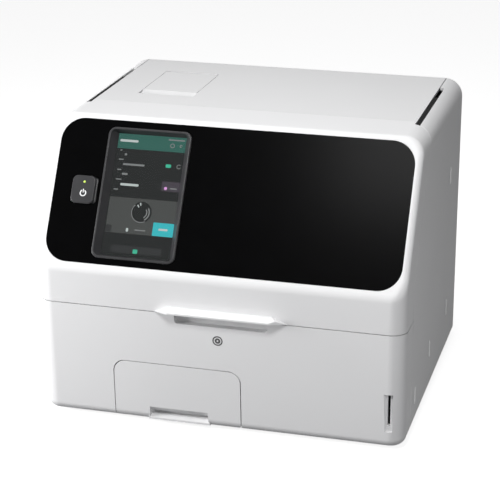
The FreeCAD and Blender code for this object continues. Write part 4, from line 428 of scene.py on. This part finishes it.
def shrunk(outline, inset, out):
    """The outline's loop pushed inwards by an inset, or by one at the sides and one at the ends,
    at a height out of the face; the corners shrink with it."""
    left, right, low, high, corner = outline
    side, end = inset if isinstance(inset, tuple) else (inset, inset)
    path = rounded_loop(left + side, right - side, low + end, high - end,
                        max(corner - max(side, end), SHARPEST))
    return on_slant(path[:, 0], path[:, 1], out)


def roll(outline, inset, out, radius, start, end, steps=5):
    """Loops along a rounded edge: an arc between two angles in degrees, its middle at the given
    inset and height."""
    return [shrunk(outline, inset + radius * math.cos(angle), out + radius * math.sin(angle))
            for angle in np.radians(np.linspace(start, end, steps))]


SMOKE = smoke_frame()
loops = [shrunk(FRAME_OUTLINE, FRAME_SLEEVE, -1.0), shrunk(FRAME_OUTLINE, 0.05, -1.0)]
loops += roll(FRAME_OUTLINE, inset=1.65, out=0.4, radius=1.6, start=180, end=90)
loops += roll(FRAME_OUTLINE, inset=2.35, out=1.2, radius=0.8, start=90, end=30)
loops += [shrunk(FRAME_OUTLINE, (SLOPE_EDGE + SLOPE_SIDE * share, SLOPE_EDGE + SLOPE_END * share),
                 SLOPE_TOP - SLOPE_DROP * share) for share in (0.04, 0.5, 0.96)]
loops += [shrunk(FRAME_OUTLINE, inset, FRAME_FOOT) for inset in ((9.5, 5.8), FRAME_SLEEVE)]
display_frame = ring_body("display_frame", loops, SMOKE)
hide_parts("display_bezel")
fit(display_frame, "cover")

# Display picture under the touch glass.
# A lit screen of plain fields: a teal header, a dark field, a grey field with a ring, and a
# turquoise key; its unit is clipped in behind the glass.
SCREEN_DEEP = -9.9  # millimetres out of the slanted face
SCREEN_X = -2.7  # shift of the whole picture across
SCREEN_UP = 1.9  # and up the slope
LEVEL = 0.02  # from one layer of the picture to the next
DOT = 0.01  # inner radius of a full disc


def lit(name, colour):
    """A lit field of the screen: the colour glows from below the glass."""
    finish, tree, shader, place = new_finish(name, 0.5)
    tint(tree, shader, speckle(tree, place, 30.0), darker(colour, 0.03), darker(colour, 0.04))
    shader.inputs["Specular IOR Level"].default_value = 0.0
    shader.inputs["Emission Color"].default_value = (*colour, 1)
    shader.inputs["Emission Strength"].default_value = 1.0
    return finish


def field(name, left, right, low, high, corner, level, finish):
    """A flat field with round corners: rings shrink from its outline to its middle point."""
    path = rounded_loop(left, right, low, high, max(corner, SHARPEST), 6)
    middle = np.array([(left + right) / 2, (low + high) / 2])
    share = np.array([0.0, 0.5, 0.999])[None, :, None]
    rings = path[:, None, :] * (1 - share) + middle * share
    points = on_slant(rings[..., 0] + SCREEN_X, rings[..., 1] + SCREEN_UP,
                      SCREEN_DEEP + LEVEL * level)
    return surface(name, points, finish, closed_u=True)


def ring(name, x, up, inner, outer, start, end, out, finish):
    """A flat arc between two radii and two angles in degrees."""
    turn = np.radians(np.linspace(start, end, 49))[:, None]
    radius = np.array([inner, outer])[None, :]
    return surface(name, on_slant(x + radius * np.cos(turn), up + radius * np.sin(turn), out),
                   finish)


def arc(name, x, up, inner, outer, start, end, level, finish):
    """A flat arc of the picture."""
    return ring(name, x + SCREEN_X, up + SCREEN_UP, inner, outer, start, end,
                SCREEN_DEEP + LEVEL * level, finish)


TEAL = lit("screen_teal", (0.040, 0.118, 0.098))
DARK = lit("screen_dark", (0.026, 0.028, 0.028))
ASH = lit("screen_ash", (0.070, 0.074, 0.072))
SLATE = lit("screen_slate", (0.040, 0.042, 0.043))
PALE = lit("screen_pale", (0.45, 0.50, 0.49))
DIM = lit("screen_dim", (0.20, 0.21, 0.21))
AQUA = lit("screen_aqua", (0.050, 0.430, 0.470))
GREEN = lit("screen_green", (0.060, 0.42, 0.27))
VIOLET = lit("screen_violet", (0.065, 0.058, 0.070))
PINK = lit("screen_pink", (0.62, 0.30, 0.62))

# A field has its left, right, low and high edge, corner radius and layer; an arc has its middle
# across and up, inner and outer radius, first and last angle, and layer.
screen = [
    field("screen_body", -152.5, -60.6, 19.6, 179.0, 1, 0, DARK),
    field("screen_header", -151, -61, 158.5, 178.4, 0.5, 1, TEAL),
    field("screen_grey_field", -151, -61, 50.5, 96, 0.5, 1, ASH),
    field("screen_foot_bar", -140, -74, 26, 35, 0.5, 1, SLATE),
    field("screen_key", -89.5, -62.5, 50.6, 67.6, 0.8, 2, AQUA),
    field("screen_key_bar", -82, -70, 57.8, 60.4, 1, 3, PALE),
    field("screen_note", -86, -61.5, 108, 120.4, 0.5, 1, VIOLET),
    field("screen_note_bar", -75, -66, 111, 112.6, 0.6, 2, DIM),
    arc("screen_note_dot", -80.4, 111.6, DOT, 2.0, 0, 360, 2, PINK),
    field("screen_home", -111, -105, 26, 31.4, 1, 2, GREEN),
    field("screen_tab", -151, -143, 51, 60, 0.5, 2, SLATE),
    field("screen_title_bar", -148.5, -124.5, 167.2, 170.2, 1.2, 2, PALE),
    field("screen_clock_bar", -85.5, -64, 173.0, 174.6, 0.7, 2, DIM),
    field("screen_value_1", -140, -137, 149.6, 152.4, 0.8, 1, DIM),
    field("screen_value_2", -140.5, -112, 137.2, 139.6, 1, 1, DIM),
    field("screen_value_3", -140, -132.5, 124.6, 127.2, 0.8, 1, DIM),
    field("screen_value_4", -140, -116, 111, 114, 1, 1, PALE),
    field("screen_caption_1", -146.5, -144, 155.4, 156.8, 0.5, 1, DIM),
    field("screen_caption_2", -147, -140.5, 143.6, 145, 0.6, 1, DIM),
    field("screen_caption_3", -147, -141.5, 130.4, 131.8, 0.6, 1, DIM),
    field("screen_caption_4", -147, -139.5, 118, 119.4, 0.6, 1, DIM),
    field("screen_caption_5", -148, -142, 105, 106.4, 0.6, 1, DIM),
    field("screen_dash", -112.7, -98.6, 55.2, 56.6, 0.6, 2, DIM),
    field("screen_mark", -124, -121, 53, 57.6, 1, 2, PALE),
    arc("screen_header_ring", -79.3, 166.4, 2.0, 3.0, 0, 360, 3, DIM),
    arc("screen_header_dot", -68.1, 166.6, 0.8, 1.8, 0, 300, 3, DIM),
    field("screen_tube", -84.5, -77.5, 138, 142.4, 1.5, 1, GREEN),
    arc("screen_turn_mark", -67.3, 140.2, 2.0, 2.9, 40, 330, 3, DIM),
    arc("screen_dial_dark", -107.3, 78.6, DOT, 13.6, 0, 360, 2, DARK),
    arc("screen_dial_rim", -107.3, 78.6, 12.2, 13.2, 135, 300, 3, DIM),
    arc("screen_dial_key_1", -107.3, 78.6, 8.6, 12.4, 98, 106, 4, PALE),
    arc("screen_dial_key_2", -107.3, 78.6, 7.4, 11.0, 118, 127, 4, PALE),
    arc("screen_dial_scale_1", -107.3, 78.6, 6.6, 8.0, -60, 35, 3, DIM),
    arc("screen_dial_scale_2", -107.3, 78.6, 9.6, 11.2, -60, 35, 3, DIM),
]
for piece in screen:
    fit(piece, "cover")

# Touch glass over the picture.
# A clear flat sheet, laid on the frame's foot and held by the display unit behind it.


def cover_glass():
    """Clear glass over the screen."""
    finish, _, shader, _ = new_finish("cover_glass", 0.03)
    shader.inputs["Base Color"].default_value = (1, 1, 1, 1)
    shader.inputs["Transmission Weight"].default_value = 1.0
    shader.inputs["IOR"].default_value = 1.12
    return finish


coat(cover_glass(), "touch_glass")

# Power button: a dark grey gloss cap on a black collar, which fills the hole round its stem; the
# collar is partly a real flange, and its black top, just under the panel, is painted shade for the
# gap round the cap.
# The cap is moulded, a small lens that lights up is pressed into it, and the power sign is
# printed on it in white.
BUTTON_HEAD = (-201.2, -170.6, 83.3, 119.2, 7.0)
BUTTON_STEM = (-200.8, -171.2, 85.4, 117.6, 4.0)
BUTTON_COLLAR = (-201.7, -168.9, 84.9, 118.1, 4.0)
BUTTON_FACE = 3.6
# For each loop of the collar how far inside its outline, and how far out of the face.
COLLAR_LOOPS = ((16.38, -5.6), (0.4, -5.6), (0.0, -5.2), (0.0, -2.0), (0.3, -1.7), (16.38, -1.7))
SIGN_X = -185.1  # middle of the light and the sign
PRINT = 0.03  # how proud the print lies


def printed_white():
    """White screen print."""
    finish, tree, shader, place = new_finish("printed_white", 0.5)
    tint(tree, shader, speckle(tree, place, 900.0), (0.70, 0.71, 0.71), (0.78, 0.79, 0.79))
    return finish


def glowing_lens():
    """A lit yellow-green lens."""
    finish, tree, shader, place = new_finish("glowing_lens", 0.3)
    tint(tree, shader, speckle(tree, place, 900.0), (0.30, 0.45, 0.04), (0.36, 0.52, 0.06))
    shader.inputs["Emission Color"].default_value = (0.45, 0.62, 0.08, 1)
    shader.inputs["Emission Strength"].default_value = 0.8
    return finish


def dome(name, x, up, radius, height, foot, finish):
    """A lens on the slanted face: a sphere's cap over a disc, closed below by its own flat foot."""
    turn = np.linspace(0, 2 * math.pi, 24, endpoint=False)[:, None]
    reach = radius * np.array([0.001, 0.999, 1.0, 0.9, 0.7, 0.4, 0.001])[None, :]
    rise = np.array([0.0, 0.0, 0.02, 0.19, 0.51, 0.84, 1.0])[None, :]
    points = on_slant(x + reach * np.cos(turn), up + reach * np.sin(turn), foot + height * rise)
    return surface(name, points, finish, closed_u=True, closed_v=True)


loops = [shrunk(BUTTON_STEM, inset, out) for inset, out in ((14.78, -4.1), (0.0, -4.1), (0.0, 1.8))]
loops += roll(BUTTON_HEAD, inset=0.5, out=2.3, radius=0.5, start=250, end=180)
loops += roll(BUTTON_HEAD, inset=1.6, out=2.3, radius=1.3, start=180, end=90, steps=7)
loops += [shrunk(BUTTON_HEAD, inset, BUTTON_FACE)
          for inset in (1.8, 2.4, 6.0, 10.0, 14.8, 15.2, 15.28)]
button_cap = ring_body("button_cap", loops, SMOKE)
# The collar's top rises to 1.7 mm under the panel's face, so its black face covers the casing's lit
# wall in the gap round the cap: painted shade on a part that is partly a real flange.
loops = [shrunk(BUTTON_COLLAR, inset, out) for inset, out in COLLAR_LOOPS]
button_collar = ring_body("button_collar", loops, BLACK)
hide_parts("power_button")
for piece in (button_cap, button_collar):
    fit(piece, "button")

button_light = dome("button_light", SIGN_X, 110.9, radius=1.5, height=0.6,
                    foot=BUTTON_FACE - 0.05, finish=glowing_lens())
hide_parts("button_lens")
fit(button_light, "button")

WHITE_PRINT = printed_white()
sign_ring = ring("power_sign_ring", SIGN_X, 96.4, inner=2.9, outer=4.3, start=118, end=422,
                 out=BUTTON_FACE + PRINT, finish=WHITE_PRINT)
along = 96.8 + 4.8 * np.linspace(0, 1, 5)[:, None]
across = SIGN_X + np.linspace(-0.6, 0.6, 3)[None, :]
sign_bar = surface("power_sign_bar", on_slant(across, along, BUTTON_FACE + PRINT), WHITE_PRINT)
for piece in (sign_ring, sign_bar):
    fit(piece, "button")

# Round mark on the lower front.
# Two plain rings, one in the other, printed on the front in dark grey ink.
MARK_X = 1.0
MARK_Z = 127.0
FRONT_EDGE = (-195, 205)  # depth and height of the front's upper edge, in millimetres
FRONT_LEAN = 9  # how far the front falls back
FRONT_TALL = 200  # over this height
INK_PROUD = 0.06


def grey_ink():
    """Dark grey screen print."""
    finish, tree, shader, place = new_finish("grey_ink", 0.5)
    tint(tree, shader, speckle(tree, place, 900.0), (0.045, 0.045, 0.047), (0.06, 0.06, 0.062))
    return finish


def front_ring(name, inner, outer):
    """A flat ring between two radii round the mark's middle, laid on the leaning front."""
    turn = np.linspace(0, 2 * math.pi, 49)[:, None]
    radius = np.array([inner, outer])[None, :]
    across = MARK_X + radius * np.cos(turn)
    height = MARK_Z + radius * np.sin(turn)
    depth = FRONT_EDGE[0] + FRONT_LEAN * (FRONT_EDGE[1] - height) / FRONT_TALL - INK_PROUD
    fit(surface(name, np.stack([across, depth, height], axis=-1) / 1000, INK),
        "chassis")


INK = grey_ink()
front_ring("mark_ring", 4.9, 6.6)
front_ring("mark_inner_ring", 1.2, 3.7)

# Floor, light and camera.
# A plain white floor and a soft studio: one light low at the left, one high in front, a wide one
# overhead and a weak strip at the right front.
FLOOR_REACH = 8
PAPER_WHITE = 0.83


def link(tree, start, out, end, into):
    """Joins an output of one node to an input of another."""
    tree.links.new(start.outputs[out], end.inputs[into])


def seen(tree):
    """One for rays of the camera, of gloss and of glass, which show the background white, else
    nought."""
    path = tree.nodes.new("ShaderNodeLightPath")
    first = tree.nodes.new("ShaderNodeMath")
    second = tree.nodes.new("ShaderNodeMath")
    first.operation = second.operation = "MAXIMUM"
    link(tree, path, "Is Camera Ray", first, 0)
    link(tree, path, "Is Transmission Ray", first, 1)
    link(tree, first, "Value", second, 0)
    link(tree, path, "Is Glossy Ray", second, 1)
    return second


def white_floor():
    """White floor that keeps the object's shadow and shows as paper white to the camera, and
    throws little light back at the object."""
    finish = bpy.data.materials.new("white_floor")
    finish.use_nodes = True
    tree = finish.node_tree
    shader = tree.nodes["Principled BSDF"]
    shader.inputs["Base Color"].default_value = (0.6, 0.6, 0.6, 1)
    shader.inputs["Roughness"].default_value = 0.9
    bounce = tree.nodes.new("ShaderNodeBsdfDiffuse")
    bounce.inputs["Color"].default_value = (0.15, 0.15, 0.155, 1)
    glow = tree.nodes.new("ShaderNodeEmission")
    glow.inputs["Color"].default_value = (1, 1, 1, 1)
    glow.inputs["Strength"].default_value = PAPER_WHITE
    add = tree.nodes.new("ShaderNodeAddShader")
    mix = tree.nodes.new("ShaderNodeMixShader")
    link(tree, shader, "BSDF", add, 0)
    link(tree, glow, "Emission", add, 1)
    link(tree, seen(tree), "Value", mix, 0)
    link(tree, bounce, "BSDF", mix, 1)
    link(tree, add, "Shader", mix, 2)
    link(tree, mix, "Shader", tree.nodes["Material Output"], "Surface")
    return finish


span = np.linspace(-FLOOR_REACH, FLOOR_REACH, 3)
flat = np.broadcast_arrays(span[:, None], span[None, :], np.zeros((1, 1)))
surface("floor", np.stack(flat, axis=-1), white_floor())

world = bpy.data.worlds.new("studio")
world.use_nodes = True
bpy.context.scene.world = world
tree = world.node_tree
surround = tree.nodes["Background"]
surround.inputs["Color"].default_value = (0.96, 0.97, 1.0, 1)
surround.inputs["Strength"].default_value = 0.06
backdrop = tree.nodes.new("ShaderNodeBackground")
backdrop.inputs["Strength"].default_value = 1.0
choose = tree.nodes.new("ShaderNodeMixShader")
link(tree, seen(tree), "Value", choose, 0)
link(tree, surround, "Background", choose, 1)
link(tree, backdrop, "Background", choose, 2)
link(tree, choose, "Shader", tree.nodes["World Output"], "Surface")


def soft_light(name, place, aim, width, height, power):
    """A rectangular soft light at a place, turned to a point."""
    lamp = bpy.data.lights.new(name, "AREA")
    lamp.shape = "RECTANGLE"
    lamp.size, lamp.size_y, lamp.energy = width, height, power
    holder = bpy.data.objects.new(name, lamp)
    bpy.context.collection.objects.link(holder)
    holder.location = place
    way = np.array(aim, float) - np.array(place, float)
    tilt = math.atan2(math.hypot(way[0], way[1]), -way[2])
    holder.rotation_euler = Euler((tilt, 0, math.atan2(-way[0], way[1])))


soft_light("key_light", place=(-1.02, -0.52, 0.34), aim=(-0.2, -0.15, 0.16), width=0.5,
           height=0.5, power=12.6)
soft_light("front_light", place=(0.06, -0.98, 1.28), aim=(0, -0.1, 0.25), width=0.42,
           height=0.3, power=9.6)
soft_light("top_light", place=(0.0, -0.1, 1.6), aim=(0, -0.05, 0.3), width=1.0,
           height=0.6, power=9.3)
soft_light("edge_light", place=(0.6, -0.78, 0.32), aim=(0.2, -0.18, 0.2), width=0.2,
           height=0.5, power=1.5)

camera = bpy.data.objects.new("camera", bpy.data.cameras.new("camera"))
bpy.context.collection.objects.link(camera)
camera.location = (0.5524, -2.0264, 0.9503)
camera.rotation_euler = Euler((1.2186074, 0.0034049, 0.2695636))
camera.data.sensor_width = 36.0
camera.data.lens = 121.71
bpy.context.scene.camera = camera
bpy.context.scene.view_settings.view_transform = "Standard"
